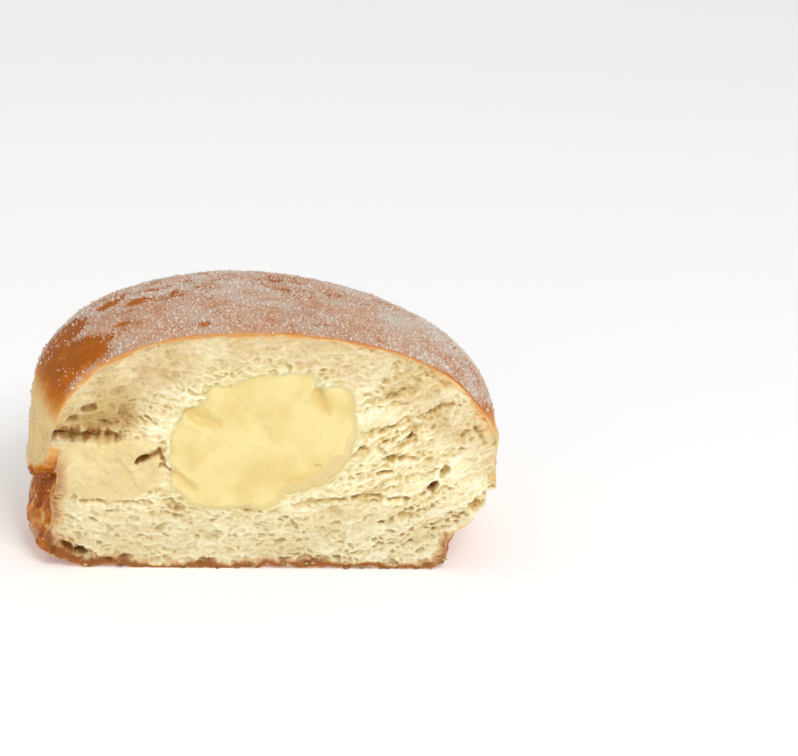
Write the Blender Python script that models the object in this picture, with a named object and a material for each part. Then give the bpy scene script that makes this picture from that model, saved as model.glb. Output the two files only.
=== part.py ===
"""A custard-filled doughnut, cut open: a soft dough with its crust, round a heart of custard.

The piece is about three quarters of a round, raised doughnut. It stands on its flat base with its
cut face towards -Y, and its origin is the middle of its box at the base. The cut misses the
doughnut's upright axis, so the widest part lies behind the cut.

Both sub-parts are lofted through rings of points. The dough's rings start behind, grow over the
skin to the rim of the cut, cross the cut face to the custard, and end deep in the hollow that the
custard fills. The custard's rings start in the middle of its cut face and end at its back.
"""
import math

import bmesh
import bpy
import numpy as np

MM = 0.001

# ---- driving dimensions of the whole doughnut ------------------------------------------------
RADIUS = 44.8 * MM          # plan radius at the waist
OVAL = 0.014                # the plan is wider along X by this share, and narrower along Y
WAIST_Z = 24.4 * MM         # height of the waist, where the upper and lower halves meet
CROWN_RISE = 24.8 * MM      # rise of the top over the waist
BASE_TRIM = 1.3 * MM        # how much the flat base takes off the rounded underside
LEAN = -0.022               # rise of the waist along X, as the doughnut leans a little
CUT_OFFSET = 17.3 * MM      # the cut runs this far in front of the upright axis

# How square the profile is: 2 is an ellipse, and more is boxier.
CROWN_SQUARE = 2.26
FRONT_SQUARE = 8.5          # lower half at the cut, in the middle
FRONT_SQUARE_SKEW = -6.2    # change of that from the middle to the +X side
SQUARE_MOST = 10.0
BACK_SQUARE = 3.2           # lower half at the back

BACK_REACH = RADIUS * (1.0 - OVAL)
CUT_Y = -0.5 * (CUT_OFFSET + BACK_REACH)
AXIS_Y = CUT_Y + CUT_OFFSET
DEPTH = CUT_OFFSET + BACK_REACH

# ---- the fold round the waist ----------------------------------------------------------------
FOLD_Z = 16.5 * MM          # height of the fold behind
FOLD_RISE_X = 1.2 * MM      # change of that height towards +X
FOLD_MOUTH_RISE = 9.0 * MM  # the fold climbs by this much to the channel's mouth at the cut
FOLD_MOUTH_RUN = 4.0 * MM
FOLD_DEPTH = 1.7 * MM       # how far the lower half steps in under the fold
FOLD_LIP = 0.5 * MM         # how far the lip over the fold stands proud
FOLD_LIP_HALF = 3.0 * MM
FOLD_EDGE = 0.8 * MM        # the step in happens over this height
FOLD_RECOVERY = 7.0 * MM    # and the lower half comes back out over about this much
FOLD_WAVE = 0.6 * MM
LUMP_HEIGHT = 0.45 * MM     # slow swellings of the skin
RELIEF_START = (0.5 * MM, 7.0 * MM)     # the relief sets in between these heights over the base

# ---- the custard and the hollow that it fills ------------------------------------------------
GAP = 0.3 * MM
CUSTARD_X = -2.8 * MM
CUSTARD_Z = 25.8 * MM
CUSTARD_MIDDLE = np.array([CUSTARD_X, CUSTARD_Z])
CUSTARD_RADIUS = 15.5 * MM
CUSTARD_STRETCH = 2.7 * MM  # the outline is longer along its tilted axis and narrower across
CUSTARD_TILT = math.radians(16.5)
CUSTARD_LOBE = 0.4 * MM
CUSTARD_DEPTH = 31.0 * MM   # from the cut to its back
CUSTARD_SWELL = 0.10        # how much wider it is behind the cut
CUSTARD_BLUNT = 0.8         # under 1 gives it a blunter back
CUSTARD_SUNK = 0.7 * MM     # its face lies this far behind the cut at the rim
CUSTARD_CROWN = 0.5 * MM    # and the middle of its face stands out by this much

# ---- what the filling nozzle left: a channel from the custard to the -X side -----------------
CHANNEL_X = (-43.0 * MM, -27.5 * MM)
CHANNEL_Z = 26.4 * MM
CHANNEL_WAVE = 0.7 * MM
CHANNEL_HALF = 1.7 * MM
CHANNEL_DEPTH = 5.0 * MM
CHANNEL_START = 5.0 * MM    # the crevice deepens over this length from its inner end
ARCH = (-33.5 * MM, 30.5 * MM, 8.5 * MM, 5.0 * MM)      # hollow crumb over it: x, z, half sizes
ARCH_DEPTH = 2.6 * MM
TONGUE = (-31.0 * MM, 19.5 * MM, 11.0 * MM, 5.5 * MM)   # smooth lobe under it: x, z, half sizes
TONGUE_PROUD = 0.8 * MM     # the rest of the crumb lies this much deeper than the lobe

# ---- crumb -----------------------------------------------------------------------------------
# Pores that can be told apart: x, z, half length, half width, slant in degrees, depth.
LARGE_PORES = (
    (-24.5 * MM, 21.8 * MM, 2.3 * MM, 1.5 * MM, 15.0, 4.0 * MM),
    (-20.5 * MM, 19.2 * MM, 2.6 * MM, 1.2 * MM, -35.0, 1.6 * MM),
    (25.4 * MM, 27.2 * MM, 1.9 * MM, 1.4 * MM, 50.0, 3.0 * MM),
    (31.7 * MM, 17.8 * MM, 2.6 * MM, 1.5 * MM, 60.0, 3.2 * MM),
    (12.0 * MM, 14.3 * MM, 5.5 * MM, 1.1 * MM, 2.0, 1.8 * MM),
    (23.0 * MM, 14.9 * MM, 6.5 * MM, 1.1 * MM, 2.0, 1.6 * MM),
    (-19.9 * MM, 39.5 * MM, 2.2 * MM, 1.7 * MM, 30.0, 1.8 * MM),
    (-36.6 * MM, 4.4 * MM, 3.6 * MM, 1.2 * MM, -22.0, 3.0 * MM),
)
PORE_SEED = 7
PORE_COUNT = 240
PORE_HALF = (1.3 * MM, 2.8 * MM)
PORE_SLIMNESS = (1.4, 2.4)
PORE_DEPTH = (0.5 * MM, 1.4 * MM)
STRAND_SLANT = 24.0         # the strands climb towards +X by this angle on the +X side
CRUST_THICK = 1.4 * MM      # the cut is smooth this near its rim
SOAKED = 1.2 * MM           # and this near the custard

# ---- fineness of the rings -------------------------------------------------------------------
RING_POINTS = 108
RING_CROWDING = 0.25        # how strongly a ring's points crowd at its two sides
SKIN_CROWDING = 1.25        # how strongly the skin's rings crowd at the cut
HALVINGS = 34
SKIN_RINGS = 20
FACE_RINGS = 15
HOLLOW_RINGS = 8
CUSTARD_FACE_RINGS = 5
HEART = np.array([0.0, CUT_Y, 17.0 * MM])   # the skin is measured along rays from here

DOUGH_COLOUR = (0.83, 0.66, 0.36, 1.0)
CUSTARD_COLOUR = (0.90, 0.73, 0.27, 1.0)


def smooth_step(value, low, high):
    """Rises smoothly from 0 at low to 1 at high."""
    share = np.clip((value - low) / (high - low), 0.0, 1.0)
    return share * share * (3.0 - 2.0 * share)


def ring_angles():
    """Angles round the Y axis from +X, closer together at the two sides, where the fold runs."""
    turn = np.linspace(0.0, 2.0 * math.pi, RING_POINTS, endpoint=False)
    return turn - RING_CROWDING * np.sin(2.0 * turn)


ANGLES = ring_angles()


def in_doughnut(points):
    """Which points lie in the whole doughnut before the cut, as an array of booleans."""
    x, z = points[..., 0], points[..., 2]
    y = points[..., 1] - AXIS_Y
    turn = np.arctan2(y, x)
    reach = np.hypot(x, y) / (RADIUS * (1.0 + OVAL * np.cos(2.0 * turn)))
    side = np.clip(x / RADIUS, -1.0, 1.0)
    front = np.minimum(FRONT_SQUARE + FRONT_SQUARE_SKEW * side, SQUARE_MOST)
    behind = smooth_step(points[..., 1], CUT_Y, CUT_Y + 0.8 * DEPTH)
    square = front + (BACK_SQUARE - front) * behind
    rise = z - WAIST_Z - LEAN * x
    upper = reach ** CROWN_SQUARE + np.abs(rise / CROWN_RISE) ** CROWN_SQUARE
    lower = reach ** square + np.abs(rise / (WAIST_Z + BASE_TRIM)) ** square
    return (np.where(rise > 0.0, upper, lower) < 1.0) & (z > 0.0)


def skin_distance(rays):
    """Distance from the heart to the skin along each ray, found by halving."""
    near = np.zeros(rays.shape[:-1])
    far = np.full(rays.shape[:-1], 2.0 * RADIUS)
    for _ in range(HALVINGS):
        middle = 0.5 * (near + far)
        inside = in_doughnut(HEART + rays * middle[..., None])
        near = np.where(inside, middle, near)
        far = np.where(inside, far, middle)
    return near


def fold_height(points):
    """Height of the fold in the waist next to each point."""
    x, y = points[..., 0], points[..., 1]
    at_mouth = np.exp(-(y - CUT_Y) / FOLD_MOUTH_RUN) * smooth_step(-x, 0.3 * RADIUS, 0.8 * RADIUS)
    wave = FOLD_WAVE * np.sin(5.0 * np.arctan2(y - AXIS_Y, x) + 0.8)
    return FOLD_Z + FOLD_RISE_X * x / RADIUS + FOLD_MOUTH_RISE * at_mouth + wave


def skin_relief(points):
    """How far the skin stands out of the plain form at each point: the fold, its lip and lumps."""
    x, y, z = points[..., 0], points[..., 1], points[..., 2]
    over = z - fold_height(points)
    under = smooth_step(-over, 0.0, FOLD_EDGE)
    step_in = -FOLD_DEPTH * under * np.exp(np.minimum(over, 0.0) / FOLD_RECOVERY)
    lip = FOLD_LIP * (1.0 - under) * np.exp(-(over / FOLD_LIP_HALF) ** 2)
    lumps = np.sin(x / (9.0 * MM) + 1.3) * np.sin(y / (11.0 * MM))
    lumps = lumps + np.sin(x / (17.0 * MM) + z / (13.0 * MM))
    return smooth_step(z, *RELIEF_START) * (step_in + lip + 0.5 * LUMP_HEIGHT * lumps)


def in_ellipse(x, z, place):
    """Squared distance from an ellipse's middle in units of its half sizes; place is x, z, sizes."""
    return ((x - place[0]) / place[2]) ** 2 + ((z - place[1]) / place[3]) ** 2


def channel_relief(x, z):
    """Depth behind the cut of the channel's crevice and of the hollow crumb over it."""
    centre = CHANNEL_Z + CHANNEL_WAVE * np.sin((x - CHANNEL_X[0]) / (2.0 * CHANNEL_HALF))
    along = smooth_step(CHANNEL_X[1] - x, 0.0, CHANNEL_START)
    crevice = CHANNEL_DEPTH * along * np.exp(-((z - centre) / CHANNEL_HALF) ** 2)
    arch = ARCH_DEPTH * np.exp(-in_ellipse(x, z, ARCH)) * smooth_step(z, CHANNEL_Z - MM, CHANNEL_Z)
    return crevice + arch


def make_pores():
    """The crumb's pores as rows of x, z, half length, half width, slant and depth."""
    dice = np.random.default_rng(PORE_SEED)
    rows = []
    for _ in range(PORE_COUNT):
        x = dice.uniform(-RADIUS, RADIUS)
        z = dice.uniform(0.0, WAIST_Z + CROWN_RISE)
        half = dice.uniform(*PORE_HALF)
        slant = STRAND_SLANT * smooth_step(x, 0.0, 0.5 * RADIUS) + dice.normal(0.0, 14.0)
        rows.append((x, z, half, half / dice.uniform(*PORE_SLIMNESS), slant, dice.uniform(*PORE_DEPTH)))
    return rows


def bowl(x, z, pore):
    """Depth of one pore: a round-bottomed bowl with an elongated mouth."""
    slant = math.radians(pore[4])
    along = (x - pore[0]) * math.cos(slant) + (z - pore[1]) * math.sin(slant)
    across = (z - pore[1]) * math.cos(slant) - (x - pore[0]) * math.sin(slant)
    return pore[5] * np.clip(1.0 - (along / pore[2]) ** 2 - (across / pore[3]) ** 2, 0.0, None)


def face_relief(x, z, from_rim, from_custard, pores):
    """How far the crumb lies behind the cut: pores, which fade at the crust and at the custard."""
    depth = np.zeros_like(x)
    on_tongue = np.exp(-in_ellipse(x, z, TONGUE) ** 2)
    for pore in pores:
        depth = np.maximum(depth, bowl(x, z, pore))
    depth *= 1.0 - on_tongue
    for pore in LARGE_PORES:
        depth = np.maximum(depth, bowl(x, z, pore))
    fade = smooth_step(from_rim, 0.3 * CRUST_THICK, CRUST_THICK) * smooth_step(from_custard, 0.0, SOAKED)
    return (TONGUE_PROUD * (1.0 - on_tongue) + depth) * fade


def custard_outline(shrink):
    """The custard's outline on the cut as x and z per ring angle, drawn in by shrink."""
    radius = CUSTARD_RADIUS + CUSTARD_STRETCH * np.cos(2.0 * (ANGLES - CUSTARD_TILT)) - shrink
    radius = radius + CUSTARD_LOBE * np.cos(3.0 * ANGLES)
    return np.stack([CUSTARD_X + radius * np.cos(ANGLES), CUSTARD_Z + radius * np.sin(ANGLES)], -1)


def skin_rings():
    """The skin from behind to the rim of the cut, ring by ring, with the channel's mouth drawn in."""
    rings = []
    for k in range(1, SKIN_RINGS + 1):
        tilt = 0.5 * math.pi * (1.0 - (1.0 - k / SKIN_RINGS) ** SKIN_CROWDING)
        rays = np.stack([math.sin(tilt) * np.cos(ANGLES), np.full(RING_POINTS, math.cos(tilt)),
                         math.sin(tilt) * np.sin(ANGLES)], -1)
        plain = HEART + rays * skin_distance(rays)[:, None]
        ring = plain + rays * skin_relief(plain)[:, None]
        near_cut = 1.0 - smooth_step(ring[:, 1], CUT_Y, CUT_Y + 3.0 * CHANNEL_DEPTH)
        ring[:, 1] += near_cut * channel_relief(ring[:, 0], ring[:, 2])
        rings.append(ring)
    return rings


def face_rings(rim, inner):
    """The cut face between the skin's rim and the custard's outline, without the rim itself."""
    across = np.hypot(rim[:, 0] - inner[:, 0], rim[:, 2] - inner[:, 1])
    pores = make_pores()
    rings = []
    for k in range(1, FACE_RINGS + 1):
        share = k / FACE_RINGS
        x = rim[:, 0] + (inner[:, 0] - rim[:, 0]) * share
        z = rim[:, 2] + (inner[:, 1] - rim[:, 2]) * share
        depth = face_relief(x, z, across * share, across * (1.0 - share), pores)
        rings.append(np.stack([x, CUT_Y + depth + channel_relief(x, z), z], -1))
    return rings


def hollow_rings(shrink, first_y):
    """Rings round the hollow, from the cut towards its back; shrink draws them in all round."""
    outline = custard_outline(shrink)
    last_y = CUT_Y + CUSTARD_DEPTH - shrink
    rings = []
    for k in range(1, HOLLOW_RINGS + 1):
        bend = 0.5 * math.pi * k / (HOLLOW_RINGS + 1)
        size = math.cos(bend) ** CUSTARD_BLUNT + CUSTARD_SWELL * math.sin(2.0 * bend)
        flat = CUSTARD_MIDDLE + (outline - CUSTARD_MIDDLE) * size
        y = np.full(RING_POINTS, first_y + (last_y - first_y) * math.sin(bend))
        rings.append(np.stack([flat[:, 0], y, flat[:, 1]], -1))
    return rings


def custard_face_rings():
    """The custard's cut face from near its middle to its rim: a low crown, sunk at the rim."""
    outline = custard_outline(GAP)
    rings = []
    for k in range(1, CUSTARD_FACE_RINGS + 1):
        share = k / CUSTARD_FACE_RINGS
        flat = CUSTARD_MIDDLE + (outline - CUSTARD_MIDDLE) * share
        y = np.full(RING_POINTS, CUT_Y + CUSTARD_SUNK - CUSTARD_CROWN * (1.0 - share ** 4))
        rings.append(np.stack([flat[:, 0], y, flat[:, 1]], -1))
    return rings


def loft(name, first, rings, last, material):
    """Makes a closed object from an end point, rings that run round +Y, and another end point."""
    mesh_maker = bmesh.new()
    start = mesh_maker.verts.new(first)
    end = mesh_maker.verts.new(last)
    loops = [[mesh_maker.verts.new(point) for point in ring] for ring in rings]
    for k in range(RING_POINTS):
        after = (k + 1) % RING_POINTS
        mesh_maker.faces.new((start, loops[0][k], loops[0][after]))
        mesh_maker.faces.new((end, loops[-1][after], loops[-1][k]))
        for here, beyond in zip(loops, loops[1:]):
            mesh_maker.faces.new((here[k], beyond[k], beyond[after], here[after]))
    bmesh.ops.recalc_face_normals(mesh_maker, faces=mesh_maker.faces)
    mesh = bpy.data.meshes.new(name)
    mesh_maker.to_mesh(mesh)
    mesh_maker.free()
    mesh.shade_smooth()
    mesh.set_sharp_from_angle(angle=math.radians(50.0))
    mesh.materials.append(material)
    shape = bpy.data.objects.new(name, mesh)
    bpy.context.scene.collection.objects.link(shape)
    return shape


def make_material(name, colour, roughness):
    """A plain finish of one colour."""
    material = bpy.data.materials.new(name)
    material.use_nodes = True
    shader = material.node_tree.nodes["Principled BSDF"]
    shader.inputs["Base Color"].default_value = colour
    shader.inputs["Roughness"].default_value = roughness
    shader.inputs["Metallic"].default_value = 0.0
    return material


def make_dough():
    """The dough: skin, cut face and the hollow for the custard, in one solid."""
    skin = skin_rings()
    face = face_rings(skin[-1], custard_outline(0.0))
    hollow = hollow_rings(0.0, CUT_Y)
    ray_back = np.array([[0.0, 1.0, 0.0]])
    behind = HEART + np.array([0.0, skin_distance(ray_back)[0], 0.0])
    bottom_of_hollow = (CUSTARD_X, CUT_Y + CUSTARD_DEPTH, CUSTARD_Z)
    material = make_material("dough", DOUGH_COLOUR, 0.85)
    return loft("dough", behind, skin + face + hollow, bottom_of_hollow, material)


def make_custard():
    """The custard, clear of the dough by the gap."""
    face = custard_face_rings()
    sides = hollow_rings(GAP, CUT_Y + CUSTARD_SUNK)
    middle = (CUSTARD_X, CUT_Y + CUSTARD_SUNK - CUSTARD_CROWN, CUSTARD_Z)
    back = (CUSTARD_X, CUT_Y + CUSTARD_DEPTH - GAP, CUSTARD_Z)
    material = make_material("custard", CUSTARD_COLOUR, 0.35)
    return loft("custard", middle, face + sides, back, material)


def clear_scene():
    """Removes what a new file starts with."""
    for thing in list(bpy.data.objects):
        bpy.data.objects.remove(thing)


clear_scene()
make_dough()
make_custard()
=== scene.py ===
"""A custard-filled doughnut, cut open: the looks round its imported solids.

Three kinds of things are made here: the dough with its crust and its torn crumb, the custard, and
the granulated sugar. Shapes are worked out in millimetres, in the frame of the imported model: +Z up,
the cut face towards -Y, and the flat base at height zero. They become metres as a mesh is made.
"""
from __future__ import annotations

import itertools
import logging
import math
from dataclasses import dataclass, field
from enum import Enum

import bpy
import numpy as np
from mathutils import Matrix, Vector
from mathutils.geometry import delaunay_2d_cdt
from mathutils.kdtree import KDTree


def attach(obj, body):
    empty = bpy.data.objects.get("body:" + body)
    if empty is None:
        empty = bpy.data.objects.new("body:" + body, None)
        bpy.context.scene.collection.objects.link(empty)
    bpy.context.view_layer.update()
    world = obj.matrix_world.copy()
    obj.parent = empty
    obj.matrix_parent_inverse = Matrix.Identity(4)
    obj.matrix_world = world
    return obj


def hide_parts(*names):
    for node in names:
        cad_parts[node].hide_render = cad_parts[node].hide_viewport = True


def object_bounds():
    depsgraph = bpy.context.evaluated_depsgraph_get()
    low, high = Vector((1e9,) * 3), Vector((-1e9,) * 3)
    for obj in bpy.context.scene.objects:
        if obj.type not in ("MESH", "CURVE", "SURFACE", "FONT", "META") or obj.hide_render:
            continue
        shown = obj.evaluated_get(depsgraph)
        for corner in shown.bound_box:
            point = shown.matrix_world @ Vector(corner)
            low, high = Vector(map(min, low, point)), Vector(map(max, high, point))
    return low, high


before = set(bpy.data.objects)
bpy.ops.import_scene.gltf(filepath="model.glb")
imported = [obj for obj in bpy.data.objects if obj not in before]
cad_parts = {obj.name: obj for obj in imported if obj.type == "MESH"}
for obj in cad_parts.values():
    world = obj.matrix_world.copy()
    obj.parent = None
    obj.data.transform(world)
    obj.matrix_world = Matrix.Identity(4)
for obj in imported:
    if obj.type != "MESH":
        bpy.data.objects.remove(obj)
CAD_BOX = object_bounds()

MM = 0.001
BODY = "root"
PICTURE_WIDTH = 798
FULL_TURN = 2.0 * math.pi
LOG = logging.getLogger("doughnut")
Array = np.ndarray
Colour = tuple[float, float, float]

# The random lattice: large primes that mix a cell's place and the seed into 16 bits.
HASH_STEPS = np.array([73856093, 19349663, 83492791])
HASH_SEED = 7919
HASH_MIX = 1274126177
HASH_MOST = 0xFFFF
SEED_SHIFT = 17.31


# ---- numbers that vary over space ------------------------------------------------------------

def rise(value: Array, low: float | Array, high: float | Array) -> Array:
    """Rises smoothly from 0 at low to 1 at high.

    Args:
        value: where to read the curve.
        low: where the rise begins.
        high: where it ends.

    Returns:
        The curve at each value.
    """
    share = np.clip((value - low) / (high - low), 0.0, 1.0)
    return share * share * (3.0 - 2.0 * share)


def fall(value: Array, low: float | Array, high: float | Array) -> Array:
    """Falls smoothly from 1 at low to 0 at high."""
    return 1.0 - rise(value, low, high)


@dataclass(frozen=True)
class Ramp:
    """A named stretch over which something sets in: 0 up to low, and 1 from high on."""

    low: float
    high: float

    def at(self, value: Array) -> Array:
        """The share that has set in at each value."""
        return rise(value, self.low, self.high)


def bell(offset: Array, half: float) -> Array:
    """A smooth bump: 1 where the offset is 0, falling off over half to each side."""
    return np.exp(-(offset / half) ** 2)


def turned_from(angles: Array, degrees: float) -> Array:
    """How far each angle is from a direction, the short way round, in radians."""
    return (angles - math.radians(degrees) + math.pi) % FULL_TURN - math.pi


def lattice_noise(points: Array, size: float, seed: int) -> Array:
    """Smooth noise from random values on a cubic lattice.

    Args:
        points: places, with x, y and z in the last axis.
        size: the lattice's spacing in millimetres.
        seed: which noise this is.

    Returns:
        Values between -1 and 1, one for each place.
    """
    place = points / size + SEED_SHIFT * seed
    cell = np.floor(place).astype(np.int64)
    part = place - cell
    ease = part * part * (3.0 - 2.0 * part)
    total = np.zeros(points.shape[:-1])
    for corner in np.array(list(itertools.product((0, 1), repeat=3))):
        key = (cell + corner) @ HASH_STEPS + HASH_SEED * seed
        key = (key ^ (key >> 13)) * HASH_MIX
        value = ((key ^ (key >> 16)) & HASH_MOST) / (0.5 * HASH_MOST) - 1.0
        total += np.prod(np.where(corner == 1, ease, 1.0 - ease), axis=-1) * value
    return total


def cloud(points: Array, size: float, seed: int, octaves: int = 3) -> Array:
    """Noise with finer noise on it, each octave half as large and half as strong.

    Args:
        points: places, with x, y and z in the last axis.
        size: the spacing of the coarsest octave in millimetres.
        seed: which noise this is.
        octaves: how many there are.

    Returns:
        Values of roughly -1 to 1, one for each place.
    """
    total = np.zeros(points.shape[:-1])
    for k in range(octaves):
        total += 0.5 ** k * lattice_noise(points, size * 0.5 ** k, seed + 31 * k)
    return total


def blurred(values: Array, half: int) -> Array:
    """Averages a grid over squares that reach half grid steps to each side.

    Args:
        values: numbers on a grid.
        half: how many steps the squares reach.

    Returns:
        The averages.
    """
    side = 2 * half + 1
    total = np.pad(values, (half + 1, half), mode="edge").cumsum(0).cumsum(1)
    rows = total[side:] - total[:-side]
    return (rows[:, side:] - rows[:, :-side]) / side ** 2


def on_wall(x: Array, z: Array) -> Array:
    """Places on the cut plane, as points that noise can be read at."""
    return np.stack([x, np.zeros_like(x), z], -1)


def slanted(x: Array, z: Array, slant: float | Array) -> tuple[Array, Array]:
    """Coordinates along a direction on the cut plane, given in radians over +X, and across it."""
    return (x * np.cos(slant) + z * np.sin(slant), z * np.cos(slant) - x * np.sin(slant))


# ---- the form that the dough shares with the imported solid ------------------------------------

@dataclass(frozen=True)
class DoughForm:
    """The whole doughnut's rounded form and the fold round its waist, in millimetres."""

    cut_y: float = CAD_BOX[0].y / MM
    depth: float = (CAD_BOX[1].y - CAD_BOX[0].y) / MM
    radius: float = 44.8
    oval: float = 0.014
    waist_z: float = 24.4
    crown_rise: float = 24.8
    base_trim: float = 1.3
    lean: float = -0.022
    cut_offset: float = 17.3
    crown_square: float = 2.26
    front_square: float = 8.5
    front_square_skew: float = -6.2
    square_most: float = 10.0
    back_square: float = 3.2
    heart_z: float = 17.0
    fold_z: float = 16.5
    fold_rise_x: float = 1.2
    fold_mouth_rise: float = 9.0
    fold_mouth_run: float = 4.0
    fold_depth: float = 1.7
    fold_lip: float = 0.5
    fold_lip_half: float = 3.0
    fold_edge: float = 0.5
    fold_recovery: float = 7.0
    fold_wave: float = 0.6
    lump_height: float = 0.45
    halvings: int = 30

    @property
    def axis_y(self) -> float:
        """Where the doughnut's upright axis stands."""
        return self.cut_y + self.cut_offset

    @property
    def heart(self) -> Array:
        """The point on the cut plane from which the skin is measured."""
        return np.array([0.0, self.cut_y, self.heart_z])

    def holds(self, points: Array) -> Array:
        """Which points lie in the whole doughnut, as booleans.

        Args:
            points: places in millimetres, with x, y and z in the last axis.

        Returns:
            True where a place is inside.
        """
        x, y, z = points[..., 0], points[..., 1] - self.axis_y, points[..., 2]
        turn = np.arctan2(y, x)
        reach = np.hypot(x, y) / (self.radius * (1.0 + self.oval * np.cos(2.0 * turn)))
        side = np.clip(x / self.radius, -1.0, 1.0)
        front = np.minimum(self.front_square + self.front_square_skew * side, self.square_most)
        behind = rise(points[..., 1], self.cut_y, self.cut_y + 0.8 * self.depth)
        square = front + (self.back_square - front) * behind
        height = z - self.waist_z - self.lean * x
        upper = reach ** self.crown_square + np.abs(height / self.crown_rise) ** self.crown_square
        lower = reach ** square + np.abs(height / (self.waist_z + self.base_trim)) ** square
        return (np.where(height > 0.0, upper, lower) < 1.0) & (z > 0.0)

    def skin(self, rays: Array) -> Array:
        """Points where rays from the heart leave the doughnut, found by halving.

        Args:
            rays: directions of length 1.

        Returns:
            The points.
        """
        near = np.zeros(rays.shape[:-1])
        far = np.full(rays.shape[:-1], 2.0 * self.radius)
        for _ in range(self.halvings):
            middle = 0.5 * (near + far)
            inside = self.holds(self.heart + rays * middle[..., None])
            near = np.where(inside, middle, near)
            far = np.where(inside, far, middle)
        return self.heart + rays * near[..., None]

    def fold_height(self, points: Array) -> Array:
        """Height of the fold in the waist next to each point.

        Args:
            points: places in millimetres, with x, y and z in the last axis.

        Returns:
            Heights in millimetres.
        """
        x, y = points[..., 0], points[..., 1]
        at_mouth = np.exp(-(y - self.cut_y) / self.fold_mouth_run)
        at_mouth = at_mouth * rise(-x, 0.3 * self.radius, 0.8 * self.radius)
        turn = np.arctan2(y - self.axis_y, x)
        round_axis = np.stack([30.0 * np.cos(turn), 30.0 * np.sin(turn), np.zeros_like(turn)], -1)
        ragged = 0.9 * cloud(round_axis, 5.0, 3, 3)
        wave = self.fold_wave * np.sin(5.0 * turn + 0.8)
        return (self.fold_z + self.fold_rise_x * x / self.radius + self.fold_mouth_rise * at_mouth
                + wave + ragged)

    def relief(self, points: Array) -> Array:
        """How far the skin stands out of the plain form: fold, lip, lumps and fine wrinkles.

        Args:
            points: places in millimetres, with x, y and z in the last axis.

        Returns:
            Millimetres outwards, less than 0 inwards.
        """
        x, y, z = points[..., 0], points[..., 1], points[..., 2]
        over = z - self.fold_height(points)
        under = rise(-over, 0.0, self.fold_edge)
        turn_noise = cloud(points * np.array([1.0, 1.0, 0.3]), 9.0, 5, 2)
        step_in = -self.fold_depth * (1.0 + 0.45 * turn_noise) * under
        step_in = step_in * np.exp(np.minimum(over, 0.0) / self.fold_recovery)
        lip = self.fold_lip * (1.0 - under) * bell(over, self.fold_lip_half)
        lumps = np.sin(x / 9.0 + 1.3) * np.sin(y / 11.0) + np.sin(x / 17.0 + z / 13.0)
        in_band = rise(z, 12.0, 18.0) * fall(z, 27.0, 33.0)
        puckers = 0.35 * in_band * cloud(points * np.array([0.45, 0.45, 1.3]), 4.0, 11, 2)
        wrinkles = 0.18 * cloud(points, 6.0, 17, 2)
        low_crust = 0.35 * fall(z, 8.0, 16.0) * cloud(points, 3.4, 23, 2)
        off_base = rise(z, 0.5, 7.0)
        plain = step_in + lip + 0.5 * self.lump_height * lumps
        return off_base * (plain + puckers) + rise(z, 0.05, 1.5) * (wrinkles + low_crust)


@dataclass(frozen=True)
class Bulge:
    """A place where the custard's edge leaves its plain outline: direction, width and height."""

    degrees: float
    width: float
    height: float


@dataclass(frozen=True)
class Custard:
    """Sizes of the custard and of the hollow that it fills, in millimetres."""

    x: float = -2.8
    z: float = 25.8
    radius: float = 15.5
    stretch: float = 2.7
    tilt: float = math.radians(16.5)
    lobe: float = 0.4
    depth: float = 31.0
    swell: float = 0.10
    blunt: float = 0.8
    sunk: float = 0.7
    crown: float = 0.5
    ragged: float = 0.85
    bulges: tuple[Bulge, ...] = (
        Bulge(33.0, 7.0, 1.5),
        Bulge(46.0, 4.0, -2.4),
        Bulge(118.0, 9.0, -1.1),
        Bulge(146.0, 8.0, -1.6),
        Bulge(200.0, 4.0, -1.3),
        Bulge(211.0, 5.0, 0.6),
    )

    @property
    def middle(self) -> Array:
        """The outline's middle on the cut plane, as x and z."""
        return np.array([self.x, self.z])

    def radii(self, angles: Array) -> Array:
        """The plain outline's distance from the middle."""
        return (self.radius + self.stretch * np.cos(2.0 * (angles - self.tilt))
                + self.lobe * np.cos(3.0 * angles))

    def edge_radii(self, angles: Array) -> Array:
        """The torn edge's distance from the middle: the plain outline with bulges and raggedness.

        Args:
            angles: directions in radians over +X.

        Returns:
            Millimetres from the middle.
        """
        circle = np.stack([9.0 * np.cos(angles), 9.0 * np.sin(angles), 0.0 * angles], -1)
        total = self.radii(angles) + self.ragged * cloud(circle, 2.5, 411, 4)
        for bulge in self.bulges:
            away = turned_from(angles, bulge.degrees)
            total = total + bulge.height * bell(away, math.radians(bulge.width))
        return total

    def around(self, angles: Array, radii: Array) -> Array:
        """Places on the cut plane, as x and z, from angles and distances round the middle."""
        return self.middle + np.stack([radii * np.cos(angles), radii * np.sin(angles)], -1)

    def beyond(self, x: Array, z: Array) -> Array:
        """How far each place on the cut plane lies outside the torn edge; less than 0 inside."""
        angles = np.arctan2(z - self.z, x - self.x)
        return np.hypot(x - self.x, z - self.z) - self.edge_radii(angles)

    def dome(self, angles: Array, count: int, start: float, gap: float) -> list[Array]:
        """Rings over the plain rounded back, going away from the cut.

        Args:
            angles: directions of each ring's points.
            count: how many rings there are.
            start: how far behind the cut they begin.
            gap: how far they stay inside the hollow.

        Returns:
            Each ring's points.
        """
        rings = []
        for bend in 0.5 * math.pi * np.arange(1, count + 1) / (count + 1):
            size = math.cos(bend) ** self.blunt + self.swell * math.sin(2.0 * bend)
            behind = start + (self.depth - gap - start) * math.sin(bend)
            rings.append(behind_cut(self.around(angles, size * (self.radii(angles) - gap)), behind))
        return rings

    def end(self, gap: float) -> Array:
        """The dome's farthest point."""
        return behind_cut(self.middle[None], self.depth - gap)


FORM = DoughForm()
CUSTARD = Custard()


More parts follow.
